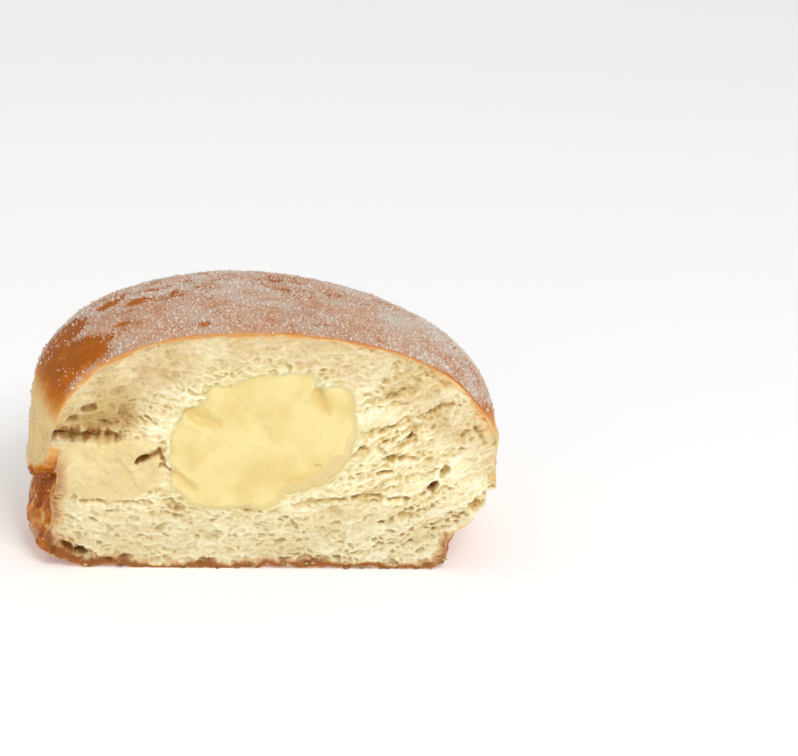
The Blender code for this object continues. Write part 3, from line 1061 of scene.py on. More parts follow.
class Paint:
    """One material's node tree, with a single way to add nodes."""

    def __init__(self, name: str) -> None:
        """Starts a material with a Principled shader.

        Args:
            name: the material's name.
        """
        self.material = bpy.data.materials.new(name)
        self.material.use_nodes = True
        self.tree = self.material.node_tree
        self.shader = self.tree.nodes["Principled BSDF"]

    def feed(self, socket: bpy.types.NodeSocket, value: object) -> None:
        """Links a wire to a socket, or sets the socket's own value."""
        if isinstance(value, Wire):
            self.tree.links.new(value.socket, socket)
        elif isinstance(value, tuple) and socket.type == "RGBA":
            socket.default_value = (*value, 1.0)
        else:
            socket.default_value = value

    def add(self, kind: str, settings: dict, inputs: dict, output: str | int = 0) -> Wire:
        """Adds a node.

        Args:
            kind: the node's type.
            settings: its own settings by name, or "stops" with a ramp's places and colours.
            inputs: values or wires by socket name or number.
            output: which of its outputs to use.

        Returns:
            That output.
        """
        node = self.tree.nodes.new(kind)
        for name, value in settings.items():
            if name == "stops":
                self.set_stops(node.color_ramp, value)
            else:
                setattr(node, name, value)
        for name, value in inputs.items():
            self.feed(node.inputs[name], value)
        return Wire(self, node.outputs[output])

    @staticmethod
    def set_stops(ramp: bpy.types.ColorRamp, stops: list[tuple[float, Colour]]) -> None:
        """Gives a ramp its places and colours."""
        while len(ramp.elements) < len(stops):
            ramp.elements.new(1.0)
        for element, (place, colour) in zip(ramp.elements, stops):
            element.position = place
            element.color = (*colour, 1.0)

    def ramp(self, value: Wire, stops: list[tuple[float, Colour]]) -> Wire:
        """Colours a number by a ramp."""
        return self.add("ShaderNodeValToRGB", {"stops": stops}, {"Fac": value}, "Color")

    def mix(self, share: Wire | float, low: Wire | Colour, high: Wire | Colour) -> Wire:
        """Mixes two colours: low where share is 0, high where it is 1."""
        inputs = {0: share, 6: low, 7: high}
        return self.add("ShaderNodeMix", {"data_type": "RGBA", "clamp_factor": True}, inputs, 2)

    def points(self, name: str) -> Wire:
        """Reads a number that the mesh stores at its points."""
        return self.add("ShaderNodeAttribute", {"attribute_name": name}, {}, "Fac")

    def place(self) -> Wire:
        """Coordinates on the piece, in metres."""
        return self.add("ShaderNodeTexCoord", {}, {}, "Object")

    def mottle(self, place: Wire, size: float, detail: float = 3.0, roughness: float = 0.55) -> Wire:
        """Cloudy noise of 0 to 1 whose patches are size millimetres across."""
        inputs = {"Vector": place, "Scale": 1.0 / (size * MM), "Detail": detail, "Roughness": roughness}
        return self.add("ShaderNodeTexNoise", {}, inputs, "Fac")

    def sway(self, place: Wire, size: float, by: float, detail: float = 3.0) -> Wire:
        """Cloudy noise round 0, at most half of by to each side."""
        return (self.mottle(place, size, detail) - 0.5) * by

    def grains(self, place: Wire, size: float) -> Wire:
        """Distance from the nearest of many scattered points size millimetres apart."""
        inputs = {"Vector": place, "Scale": 1.0 / (size * MM)}
        return self.add("ShaderNodeTexVoronoi", {"feature": "F1"}, inputs, "Distance")

    def bump(self, height: Wire, distance: float, under: Wire | None = None) -> Wire:
        """Bumps of distance millimetres, laid over another bump if one is given."""
        inputs = {"Height": height, "Distance": distance * MM, "Strength": 1.0}
        if under is not None:
            inputs["Normal"] = under
        return self.add("ShaderNodeBump", {}, inputs, "Normal")

    def finish(self, **sockets: object) -> bpy.types.Material:
        """Feeds the shader's sockets, with _ for a space in their names, and ends the material."""
        for name, value in sockets.items():
            self.feed(self.shader.inputs[name.replace("_", " ")], value)
        return self.material


def from_screen(red: int, green: int, blue: int) -> Colour:
    """A colour as light, from the numbers of 0 to 255 that a screen shows."""
    shares = (value / 255.0 for value in (red, green, blue))
    return tuple(s / 12.92 if s <= 0.04045 else ((s + 0.055) / 1.055) ** 2.4 for s in shares)


@dataclass(frozen=True)
class CrustFinish:
    """The skin: pale and soft round the waist, orange brown above and below, with a sugar haze."""

    pale: Colour = from_screen(240, 210, 148)
    golden: Colour = from_screen(230, 172, 98)
    tan: Colour = from_screen(203, 116, 32)
    brown: Colour = from_screen(150, 76, 14)
    haze: Colour = from_screen(236, 182, 145)
    thick_haze: Colour = from_screen(216, 190, 164)

    def make(self) -> bpy.types.Material:
        """Makes the material."""
        paint = Paint("crust")
        place = paint.place()
        baked = paint.points("baked") + paint.sway(place, 4.0, 0.36) + paint.sway(place, 1.0, 0.26)
        stops = [(0.0, self.pale), (0.3, self.golden), (0.62, self.tan), (1.0, self.brown)]
        skin = paint.ramp(baked, stops)
        fine = paint.mottle(place, 0.35, 2.0)
        haze = paint.points("haze") * (0.3 + fine.step(0.28, 0.52) * 0.7)
        veil = paint.mix(paint.mottle(place, 4.0).step(0.36, 0.64), self.haze, self.thick_haze)
        wrinkles = paint.bump(paint.mottle(place, 1.6, 4.0), 0.5)
        pitted = paint.bump(paint.mottle(place, 0.3, 3.0), 0.12, wrinkles)
        return paint.finish(
            Base_Color=paint.mix(haze, skin, veil),
            Roughness=0.45 + haze * 0.35 + paint.sway(place, 1.2, 0.2),
            Normal=pitted,
            Subsurface_Weight=0.12,
            Subsurface_Radius=(1.0, 0.5, 0.25),
            Subsurface_Scale=0.0012,
            Specular_IOR_Level=0.04,
        )


@dataclass(frozen=True)
class CrumbFinish:
    """The torn inside: cream strands, hollows with painted shade and tan, and the crust's line at its rim.
    """

    strand: Colour = from_screen(251, 246, 216)
    cream: Colour = from_screen(239, 226, 183)
    # The next two colours paint shade into hollows and pits, partly the crumb's own tan.
    hollow: Colour = from_screen(218, 193, 133)
    deep: Colour = from_screen(188, 149, 84)
    # A tan that is real at the sides and under the crust, and painted shade in the hollow over the channel.
    toasted_and_shaded: Colour = from_screen(194, 161, 106)
    # A dark brown: painted shadow in the slit, tears and pores, and real colour in crust spots.
    shadow_and_burnt: Colour = from_screen(150, 100, 38)
    golden: Colour = from_screen(238, 200, 142)
    dusky: Colour = from_screen(220, 186, 138)
    orange: Colour = from_screen(210, 144, 80)
    brown: Colour = from_screen(152, 92, 42)
    soaked: Colour = from_screen(242, 222, 158)
    # A greyer, darker tone for the lower part of the cut face.
    low_grey: Colour = from_screen(212, 205, 176)

    def make(self) -> bpy.types.Material:
        """Makes the material."""
        paint = Paint("crumb")
        place = paint.place()
        pit = paint.points("pit") + paint.sway(place, 1.0, 0.22) + paint.sway(place, 0.4, 0.2, 2.0)
        # Darker where the crumb lies deeper, in pits and between folds: painted shade, partly the crumb's
        # own tan.
        stops = [(0.0, self.strand), (0.2, self.cream), (0.5, self.hollow), (1.0, self.deep)]
        inside = paint.ramp(pit, stops)
        # Greyer and darker towards the bottom of the cut face.
        inside = paint.mix(paint.points("low") * 0.34, inside, self.low_grey)
        inside = paint.mix(paint.points("soak"), inside, self.soaked)
        tan = paint.points("tan") * (0.75 + (paint.mottle(place, 1.4) - 0.5))
        # Tan: real at the sides, on the tongue and under the crust; painted shade in the hollow over the
        # channel.
        inside = paint.mix(tan, inside, self.toasted_and_shaded)
        fine = paint.mottle(place, 0.8)
        rim = paint.points("rim") + (fine - 0.5) * 0.35 * paint.points("rim").step(0.0, 0.3)
        edge = paint.ramp(paint.points("low"), [(0.0, self.orange), (1.0, self.brown)])
        glow = paint.mix(paint.points("low"), self.golden, self.dusky)
        baked = paint.mix(rim.step(0.4, 1.0), glow, edge)
        colour = paint.mix(rim.step(0.08, 0.5), inside, baked)
        # Dark brown: painted shadow in the slit, tears, deep pores and hollow, and real crust spots near
        # the base.
        scorch = paint.points("scorch") * (1.0 + (fine - 0.5) * 1.2)
        colour = paint.mix(scorch.step(0.1, 0.85), colour, self.shadow_and_burnt)
        threads = paint.bump(paint.mottle(place, 0.7, 4.0, 0.65), 0.22)
        foam = paint.bump(paint.grains(place, 0.42), 0.05, threads)
        return paint.finish(
            Base_Color=colour,
            Roughness=0.66 + paint.sway(place, 0.8, 0.3),
            Normal=foam,
            Subsurface_Weight=0.55,
            Subsurface_Radius=(1.0, 0.75, 0.4),
            Subsurface_Scale=0.0019,
            Specular_IOR_Level=0.25,
        )


@dataclass(frozen=True)
class CustardFinish:
    """Set custard: smooth, moist and pale yellow, thinner and duller where it is smeared."""

    light: Colour = from_screen(234, 217, 153)
    full: Colour = from_screen(225, 202, 131)
    thin: Colour = from_screen(220, 198, 142)
    # A deeper yellow painted as shade in the grooves.
    crease_shade: Colour = from_screen(222, 186, 104)

    def make(self) -> bpy.types.Material:
        """Makes the material."""
        paint = Paint("custard")
        place = paint.place()
        streaks = paint.mottle(place, 7.0, 3.0)
        colour = paint.mix(streaks.step(0.34, 0.62), self.full, self.light)
        smeared = paint.mix(paint.points("smear") * 0.85, colour, self.thin)
        soft = paint.bump(paint.mottle(place, 3.0, 3.0), 0.3)
        return paint.finish(
            # Deeper yellow in the grooves is painted shade.
            Base_Color=paint.mix(paint.points("crease_shade"), smeared, self.crease_shade),
            Roughness=0.32 + paint.mottle(place, 2.0) * 0.16,
            Normal=paint.bump(paint.mottle(place, 0.8, 3.0), 0.05, soft),
            Subsurface_Weight=0.3,
            Subsurface_Radius=(1.0, 0.75, 0.3),
            Subsurface_Scale=0.0015,
            Specular_IOR_Level=0.45,
        )


@dataclass(frozen=True)
class SugarFinish:
    """Sugar grains: greyish white to the crust's own tone, as if light came through them."""

    white: Colour = from_screen(235, 223, 209)
    amber: Colour = from_screen(229, 175, 140)

    def make(self) -> bpy.types.Material:
        """Makes the material."""
        paint = Paint("sugar")
        return paint.finish(
            Base_Color=paint.mix(paint.points("tone"), self.amber, self.white),
            Roughness=0.24 + paint.points("tone") * 0.2,
            Subsurface_Weight=0.2,
            Subsurface_Radius=(1.0, 0.8, 0.6),
            Subsurface_Scale=0.0006,
            Specular_IOR_Level=0.5,
        )


@dataclass(frozen=True)
class FloorFinish:
    """A plain pale floor."""

    colour: Colour = (0.96, 0.96, 0.96)

    def make(self) -> bpy.types.Material:
        """Makes the material."""
        paint = Paint("floor")
        speck = paint.mottle(paint.place(), 40.0, 2.0)
        return paint.finish(
            Base_Color=self.colour,
            Roughness=0.7 + speck * 0.1,
            Emission_Color=self.colour,
            Emission_Strength=0.2,
        )


# ---- the custard -----------------------------------------------------------------------------

@dataclass
class CustardFilling:
    """The custard: a smeared cut face, and a plain round back in the dough's hollow."""

    points: int = 384
    face_ring_count: int = 84
    back_ring_count: int = 12
    back_start: float = 3.0
    back_gap: float = 0.3
    smear_degrees: float = 327.0
    smear_half: float = 0.62
    skirts: tuple[tuple[float, float], ...] = ((0.15, 0.0), (0.5, 0.45))
    strokes: tuple[Stroke, ...] = (
        Stroke((-7.4, 31.6), (-4.7, 30.4), 0.8, 1.9, 0.35),
        Stroke((-4.7, 30.4), (-2.4, 28.2), 0.8, 1.9, 0.4),
        Stroke((-2.4, 28.2), (0.8, 25.2), 0.8, 1.8, 0.35),
        Stroke((-0.6, 32.0), (4.4, 26.0), 1.1, 1.6, -0.5),
        Stroke((-17.4, 31.6), (-11.6, 29.0), 1.2, 0.8, 0.9),
        Stroke((-17.2, 29.8), (-13.0, 28.2), 0.9, 1.2, -0.9),
        Stroke((-13.0, 28.0), (-14.6, 26.0), 0.7, 1.0, -0.4),
        Stroke((-13.0, 31.6), (-8.6, 32.8), 1.0, 0.9, -0.45),
        Stroke((-7.0, 25.4), (-3.9, 22.6), 0.8, 0.9, -0.35),
        Stroke((-5.8, 24.8), (-3.0, 24.4), 0.7, 0.7, 0.3),
        Stroke((3.9, 23.4), (5.8, 20.2), 1.4, 1.6, -0.7),
        Stroke((3.6, 18.6), (7.2, 19.6), 0.7, 0.8, 0.6),
        Stroke((8.2, 21.3), (9.0, 21.5), 0.6, 0.6, 0.8),
        Stroke((7.4, 35.8), (9.4, 32.0), 0.7, 0.8, 1.0),
        Stroke((11.6, 34.2), (12.6, 33.6), 1.6, 1.7, -0.8),
        Stroke((-1.6, 20.6), (2.6, 20.0), 1.0, 1.1, -0.3),
        Stroke((-12.0, 20.5), (-6.0, 18.5), 1.6, 1.8, -0.3),
        Stroke((-19.0, 19.6), (-15.6, 16.0), 0.9, 1.0, 0.8),
        Stroke((-17.4, 20.2), (-14.4, 17.2), 0.8, 0.8, -0.6),
        Stroke((-18.6, 33.4), (-13.6, 35.8), 0.6, 0.9, 0.7),
    )

    def smeared(self, flat: Array, angles: Array) -> Array:
        """How much of the edge is thin custard smeared over crumb, from 0 to 1.

        Args:
            flat: places on the cut plane, as x and z.
            angles: their directions from the custard's middle.

        Returns:
            The shares.
        """
        low_right = bell(turned_from(angles, self.smear_degrees), self.smear_half)
        inward = -CUSTARD.beyond(flat[:, 0], flat[:, 1])
        inward = inward + 0.5 * cloud(on_wall(flat[:, 0], flat[:, 1]), 2.0, 421, 3)
        width = 3.2 * low_right + 0.5
        return fall(inward, 0.75 * width, width) * np.clip(0.25 + low_right, 0.0, 1.0)

    def grooves(self, flat: Array, least: float = -math.inf) -> Array:
        """Depth of the strokes that are deeper than least, with ragged sides."""
        x, z = flat[:, 0], flat[:, 1]
        ragged = 0.45 * cloud(on_wall(x, z), 3.0, 433, 2)
        return sum(stroke.relief(x + ragged, z + ragged) for stroke in self.strokes if stroke.depth > least)

    def crease_shade(self, flat: Array) -> Array:
        """How much painted shade deepens the colour of each place, in the deeper grooves."""
        return np.clip(0.6 * self.grooves(flat, 0.4), 0.0, 0.6)

    def depth(self, flat: Array, angles: Array, share: float) -> Array:
        """How far the custard's face lies behind the cut.

        Args:
            flat: places on the cut plane, as x and z.
            angles: their directions from the custard's middle.
            share: how far out they lie, from 0 in the middle to 1 at the edge.

        Returns:
            Millimetres, one for each place.
        """
        x, z = flat[:, 0], flat[:, 1]
        drag = on_wall(0.35 * (0.6 * x - 0.8 * z), 0.8 * x + 0.6 * z)
        total = 0.14 * cloud(drag, 3.6, 401, 3) + 0.33 * cloud(on_wall(x, z), 6.5, 403, 2)
        right, up = x - CUSTARD.x, z - CUSTARD.z
        total = total + CUSTARD.sunk - CUSTARD.crown * (1.0 - share ** 4)
        total = total + 0.8 * rise(0.9 * up - 0.75 * right, 3.0, 15.0)
        total = total - 0.35 * rise(0.8 * right - up, 3.0, 13.0)
        total = total + 0.85 * self.grooves(flat)
        smear = self.smeared(flat, angles)
        return np.clip(total + (0.25 + 0.16 * cloud(on_wall(x, z), 1.4, 431, 3)) * smear, 0.02, None)

    def edge_depth(self, angles: Array) -> Array:
        """How far the custard's torn edge lies behind the cut, by direction from its middle."""
        turned = angles % FULL_TURN
        return self.depth(CUSTARD.around(turned, CUSTARD.edge_radii(turned)), turned, 1.0)

    def build(self) -> bpy.types.Mesh:
        """Makes the closed mesh: the face from its middle out, the skirts, and the back."""
        shell = Shell()
        angles = ring_angles(self.points)
        edge = CUSTARD.edge_radii(angles)
        tip = CUSTARD.middle[None]
        tip_depth = self.depth(tip, np.zeros(1), 0.0)
        before = shell.add(behind_cut(tip, tip_depth), {"crease_shade": self.crease_shade(tip)})
        for share in np.arange(1, self.face_ring_count + 1) / self.face_ring_count:
            flat = CUSTARD.around(angles, edge * share)
            depth = self.depth(flat, angles, share)
            paint = {"smear": self.smeared(flat, angles), "crease_shade": self.crease_shade(flat)}
            before = shell.join(before, shell.add(behind_cut(flat, depth), paint), 0)
        rings = [behind_cut(CUSTARD.around(angles, edge + out), depth + drop) for out, drop in self.skirts]
        for ring in rings + CUSTARD.dome(angles, self.back_ring_count, self.back_start, self.back_gap):
            before = shell.join(before, shell.add(ring), 0)
        shell.close(before, CUSTARD.end(self.back_gap), 0)
        return shell.mesh("custard")

    def dress(self) -> bpy.types.Object:
        """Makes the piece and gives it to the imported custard's place."""
        piece = show(self.build(), "custard_heart", [CustardFinish().make()])
        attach(piece, BODY)
        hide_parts("custard")
        return piece


# ---- the dough -------------------------------------------------------------------------------

@dataclass(frozen=True)
class TornCorner:
    """A place on the cut's edge that stands out sideways to +X: place, reach, shift, and its run back."""

    x: float
    z: float
    half_width: float
    half_height: float
    shift: float
    run: float

    def push(self, points: Array) -> Array:
        """How far each point moves along X.

        Args:
            points: places in millimetres, with x, y and z in the last axis.

        Returns:
            Millimetres towards +X.
        """
        across = ((points[..., 0] - self.x) / self.half_width) ** 2
        up = ((points[..., 2] - self.z) / self.half_height) ** 2
        back = np.clip(points[..., 1] - FORM.cut_y, 0.0, None) / self.run
        return self.shift * np.exp(-across - up ** 2 - back ** 2)


class Slot(Enum):
    """The dough's two finishes, in the order of its material slots."""

    CRUST = 0
    CRUMB = 1


@dataclass(frozen=True)
class BareSpot:
    """A place where the sugar has rubbed off: a stretch between two points, and its half width."""

    start: tuple[float, float, float]
    end: tuple[float, float, float]
    half: float
    seed: int
    bareness: float = 0.97

    def cover(self, points: Array) -> Array:
        """How bare each point is, from 0 to 1.

        Args:
            points: places in millimetres, with x, y and z in the last axis.

        Returns:
            The shares.
        """
        start = np.array(self.start) + np.array([0.0, FORM.cut_y, 0.0])
        run = np.array(self.end) - np.array(self.start)
        share = np.clip((points - start) @ run / (run @ run), 0.0, 1.0)
        away = np.linalg.norm(points - start - share[..., None] * run, axis=-1)
        away = away + 1.5 * cloud(points, 3.0, self.seed, 2)
        return fall(away, 0.7 * self.half, 1.15 * self.half)


# Places are given from the cut plane back.
BARE_SPOTS = (
    BareSpot((-43.0, 8.0, 32.5), (-36.5, 7.5, 38.5), 7.5, 301),
    BareSpot((-42.5, 16.0, 32.5), (-38.0, 20.0, 38.0), 7.5, 302),
    BareSpot((-35.5, 3.0, 38.5), (-34.0, 4.0, 40.5), 3.0, 303, 0.8),
    BareSpot((-25.5, 20.0, 46.0), (-20.5, 18.5, 47.6), 1.9, 304, 0.8),
    BareSpot((-28.0, 10.0, 44.5), (-25.5, 6.0, 45.0), 1.3, 305, 0.6),
    BareSpot((-15.6, 3.7, 47.4), (-14.4, 4.0, 47.5), 0.8, 306, 0.9),
)


@dataclass
class Dough:
    """The dough: skin, torn cut face and the hollow behind the custard, in one closed mesh."""

    crumb: Crumb
    filling: CustardFilling
    corners: tuple[TornCorner, ...] = (
        TornCorner(37.5, 6.2, 7.0, 2.4, -2.4, 5.0),
        TornCorner(30.0, 1.2, 5.0, 1.7, 2.8, 4.0),
        TornCorner(-42.0, 3.6, 6.0, 4.6, -1.6, 20.0),
        TornCorner(43.0, 24.5, 7.0, 8.5, 1.2, 6.0),
        TornCorner(41.0, 15.0, 6.0, 3.2, 1.3, 4.0),
        TornCorner(43.0, 19.4, 5.0, 0.9, -1.3, 2.5),
    )
    skin_points: int = 432
    rim_points: int = 864
    hollow_rim_points: int = 480
    hollow_points: int = 120
    skin_ring_count: int = 100
    hollow_ring_count: int = 6
    face_step: float = 0.212
    face_half_wide: float = 46.0
    face_high: float = 50.0
    row_share: float = 0.866
    jitter: float = 0.12
    edge_gap: float = 0.6
    same_place: float = 1e-6
    crust_thick: float = 1.1
    soaked: float = 1.5
    overlap: float = 0.07
    lip_run: float = 0.9
    sharp: float = 70.0
    hollow_start: float = 1.5
    nearer_rim: float = 1.25
    left_side: Ramp = Ramp(34.0, 38.0)
    far_right: Ramp = Ramp(28.0, 38.0)
    crown: Ramp = Ramp(27.0, 33.0)
    skin_grid: Array = field(init=False)
    rim: Array = field(init=False)

    def ragged_base(self, points: Array) -> Array:
        """How far the torn lower crust at the cut is lifted off the ground.

        Args:
            points: places in millimetres, with x, y and z in the last axis.

        Returns:
            Millimetres upwards.
        """
        x, y, z = points[..., 0], points[..., 1], points[..., 2]
        line = on_wall(x, 0.0 * x)
        lift = 0.2 + 0.55 * cloud(line, 6.0, 151, 2) + 0.35 * cloud(line, 1.4, 153, 3)
        near = fall(y, FORM.cut_y, FORM.cut_y + 4.0)
        return np.clip(lift, 0.0, 1.5) * near * np.clip(1.0 - z / 5.0, 0.0, 1.0)

    def torn_sides(self, points: Array) -> Array:
        """How far the cut's edge moves along X: its torn corners, and raggedness at both sides.

        Args:
            points: places in millimetres, with x, y and z in the last axis.

        Returns:
            Millimetres towards +X.
        """
        x, behind, z = points[..., 0], points[..., 1] - FORM.cut_y, points[..., 2]
        right = rise(x, 28.0, 34.0) * rise(z, 0.3, 2.0) * fall(z, 24.0, 29.0)
        right = right * np.exp(-np.clip(behind, 0.0, None) / 1.5)
        left = rise(-x, 33.0, 38.0) * rise(z, 0.3, 2.5) * fall(z, 17.0, 22.0)
        left = left * fall(behind, 6.0, 22.0)
        ragged = -0.8 * np.clip(0.25 + cloud(on_wall(x, z), 2.2, 173, 3), 0.0, 1.2) * right
        ragged = ragged + 0.6 * cloud(points, 3.0, 177, 3) * left
        return ragged + sum(corner.push(points) for corner in self.corners)

    def skin_rings(self) -> list[Array]:
        """The skin from behind to the rim of the cut."""
        rings = []
        for k in range(1, self.skin_ring_count + 1):
            count = self.rim_points if k == self.skin_ring_count else self.skin_points
            angles = ring_angles(count)
            tilt = 0.5 * math.pi * (1.0 - (1.0 - k / self.skin_ring_count) ** self.nearer_rim)
            rays = np.stack([math.sin(tilt) * np.cos(angles), np.full(count, math.cos(tilt)),
                             math.sin(tilt) * np.sin(angles)], -1)
            plain = FORM.skin(rays)
            ring = plain + rays * FORM.relief(plain)[:, None]
            ring[:, 1] = np.maximum(ring[:, 1], FORM.cut_y)
            ring[:, 1] += self.mouth(ring)
            ring[:, 2] += self.ragged_base(ring)
            ring[:, 0] += self.torn_sides(ring)
            rings.append(ring)
        return rings

    def mouth(self, points: Array) -> Array:
        """How far the channel's open end draws the skin back from the cut.

        Args:
            points: places in millimetres, with x, y and z in the last axis.

        Returns:
            Millimetres away from the cut.
        """
        gap = np.exp(-np.abs((points[..., 2] - self.crumb.channel_z + 0.3) / 1.3) ** 2.4)
        left = rise(self.crumb.channel_x[1] - points[..., 0], 0.0, 4.0)
        near = fall(points[..., 1], FORM.cut_y, FORM.cut_y + 12.0)
        return 0.6 * self.crumb.channel_depth * gap * left * near

    def rim_share(self, x: Array, z: Array, from_rim: Array) -> Array:
        """How much of the crust's line, or of the glow inside it, each place on the cut shows.

        Args:
            x: places on the cut plane.
            z: their heights.
            from_rim: how far each lies from the rim.

        Returns:
            Shares of 0 to 1.
        """
        wall = on_wall(x, z)
        low = fall(z, 5.0, 13.0)
        high = self.crown.at(z)
        low_right = low * self.far_right.at(x)
        left = self.left_side.at(-x) * fall(z, 20.0, 25.0)
        width = 0.7 + (0.65 - 0.4 * rise(x, 12.0, 26.0)) * high + low + 2.2 * left + 0.8 * low_right
        width = width * (1.0 + 0.7 * cloud(wall, 2.4, 161, 3)) + 1.1 * left
        strengths = (0.9 * high, low * (1.0 - 0.3 * low_right), 0.66 * left, np.full(len(x), 0.14))
        line = np.maximum.reduce(strengths) * fall(from_rim, 0.1 * width, width)
        right = rise(x, 4.0, 24.0)
        glow = (0.29 + 0.03 * right) * rise(z, 20.0, 28.0) * (1.0 + 0.5 * cloud(wall, 3.0, 175, 2))
        return np.maximum(glow * fall(from_rim, 0.4, 2.0 + 1.3 * right), line)

    def face(self, rim: Array, hole: Array) -> tuple[Array, Array, Array]:
        """Fills the cut face between two rings with nearly even triangles.

        Args:
            rim: the skin's edge on the cut plane, as x and z.
            hole: the custard's edge, as x and z.

        Returns:
            x and z of the hole's ring and the new points, triangles by number (rim first), and how
            far each of those places lies from the rim.
        """
        heart = np.array([FORM.heart[0], FORM.heart[2]])
        heights = np.arange(0.0, self.face_high, self.face_step * self.row_share)
        across = np.arange(-self.face_half_wide, self.face_half_wide, self.face_step)
        rows, columns = np.meshgrid(heights, across, indexing="ij")
        columns = columns + 0.5 * self.face_step * (np.arange(len(rows)) % 2)[:, None]
        inner = np.stack([columns.ravel(), rows.ravel()], -1)
        dice, gap = np.random.default_rng(3), self.edge_gap * self.face_step
        inner = inner + dice.uniform(-self.jitter, self.jitter, inner.shape) * self.face_step
        inner = inner[self.from_ring(inner, rim, heart) > gap]
        inner = inner[CUSTARD.beyond(inner[:, 0], inner[:, 1]) > gap]
        every = np.concatenate([rim, hole, inner])
        edges = len(rim) + len(hole)
        bounds = []
        for first, ring in ((0, rim), (len(rim), hole)):
            bounds += [(first + k, first + (k + 1) % len(ring)) for k in range(len(ring))]
        filled = delaunay_2d_cdt([Vector(place) for place in every], bounds, [], 0, self.same_place)
        source = np.array([ids[0] if ids else -1 for ids in filled[3]])
        corners = source[np.array(filled[2])]
        corners = corners[(corners >= 0).all(1)]
        loose = (corners < edges).all(1)
        middles = every[corners].mean(1)
        keep = np.ones(len(corners), bool)
        keep[loose] = self.inside(middles[loose], rim) & ~self.inside(middles[loose], hole)
        flat = every[len(rim):]
        return flat, corners[keep], self.from_line(flat, rim)

    @staticmethod
    def from_line(places: Array, ring: Array) -> Array:
        """How far each place lies from the nearest point of a closed ring.

        Args:
            places: rows of x and z.
            ring: the ring's points, as x and z.

        Returns:
            Millimetres.
        """
        run = np.roll(ring, -1, axis=0) - ring
        dense = np.concatenate([ring + run * share for share in (0.0, 0.33, 0.67)])
        tree = KDTree(len(dense))
        for number, place in enumerate(dense):
            tree.insert((*place, 0.0), number)
        tree.balance()
        return np.array([tree.find((*place, 0.0))[2] for place in places])

    @staticmethod
    def from_ring(places: Array, ring: Array, heart: Array) -> Array:
        """How far inside a ring each place lies, measured along the ray from the heart.

        Args:
            places: rows of x and z.
            ring: the ring's points, as x and z.
            heart: the point that the ring goes round.

        Returns:
            Millimetres.
        """
        ring_angle = np.arctan2(*(ring - heart).T[::-1])
        order = np.argsort(ring_angle)
        reach = np.hypot(*(ring - heart).T)[order]
        angle = np.arctan2(*(places - heart).T[::-1])
        limit = np.interp(angle, ring_angle[order], reach, period=FULL_TURN)
        return limit - np.hypot(*(places - heart).T)

    @staticmethod
    def inside(places: Array, ring: Array) -> Array:
        """Which places lie inside a closed ring, by counting crossings.

        Args:
            places: rows of x and z.
            ring: the ring's points, as x and z.

        Returns:
            True where a place is inside.
        """
        after = np.roll(ring, -1, axis=0)
        above = ring[None, :, 1] > places[:, None, 1]
        above_after = after[None, :, 1] > places[:, None, 1]
        height = after[:, 1] - ring[:, 1]
        slope = (after[:, 0] - ring[:, 0]) / np.where(height == 0.0, 1.0, height)
        crossing = ring[None, :, 0] + (places[:, None, 1] - ring[None, :, 1]) * slope[None]
        return ((above != above_after) & (places[:, None, 0] < crossing)).sum(1) % 2 == 1

    def face_points_and_paint(
        self, flat: Array, from_rim: Array, rim_depth: Array | float,
    ) -> tuple[Array, dict[str, Array]]:
        """Gives places on the cut face their depth, and what their material reads.

        Args:
            flat: x and z of each place.
            from_rim: how far each lies from the rim.
            rim_depth: how far the rim is drawn back next to each.

        Returns:
            The points and the material's numbers.
        """
        x, z = flat[:, 0], flat[:, 1]
        wall = on_wall(x, z)
        right, up = x - CUSTARD.x, z - CUSTARD.z
        from_custard = CUSTARD.beyond(x, z)
        sides = rise(z, 8.0, 14.0) * fall(z, 28.0, 33.0)
        thick = self.crust_thick * (1.0 - 0.75 * sides) * (1.0 + 0.5 * cloud(wall, 2.0, 163, 3))
        crust = fall(from_rim, 0.2 * thick, thick)
        torn = 0.5 * np.clip(cloud(wall, 1.1, 165, 3), 0.0, 1.0) * fall(z, 2.0, 5.0)
        soaked = self.soaked * (1.0 + 0.6 * cloud(wall, 2.2, 169, 2))
        near = fall(from_custard, 0.0, soaked)
        lower = rise(right - up, 4.0, 16.0)
        shown = self.crumb.read(self.crumb.depth, x, z) * (1.0 - crust)
        shown = shown * (1.0 - (0.1 + 0.6 * lower) * near) + 0.3 * near * lower
        lip = self.filling.edge_depth(np.arctan2(up, right)) - self.overlap
        shown = lip + (shown - lip) * rise(from_custard, -0.05, self.lip_run)
        shown = np.maximum(shown, torn * rise(from_rim, 0.0, 0.3))
        low_left = self.left_side.at(-x) * (z < 25.5)
        paint = {
            # Painted shade in pits and between folds, partly the crumb's own tan.
            "pit": self.crumb.read(self.crumb.shade, x, z) * (1.0 - 0.8 * crust),
            "rim": self.rim_share(x, z, from_rim),
            "low": np.maximum(fall(z, 6.0, 17.0), low_left),
            "soak": np.maximum(near * (0.5 + 0.4 * lower), self.crumb.read(self.crumb.wet, x, z)),
            # Dark brown: painted shadow in the slit, tears, pores and hollow, and real crust spots near the
            # base.
            "scorch": self.crumb.read(self.crumb.scorch, x, z) * (1.0 - 0.5 * crust),
            # Tan, with painted shade in the hollow over the channel.
            "tan": self.crumb.read(self.crumb.tan, x, z),
        }
        return behind_cut(flat, np.maximum(shown, rim_depth * crust)), paint

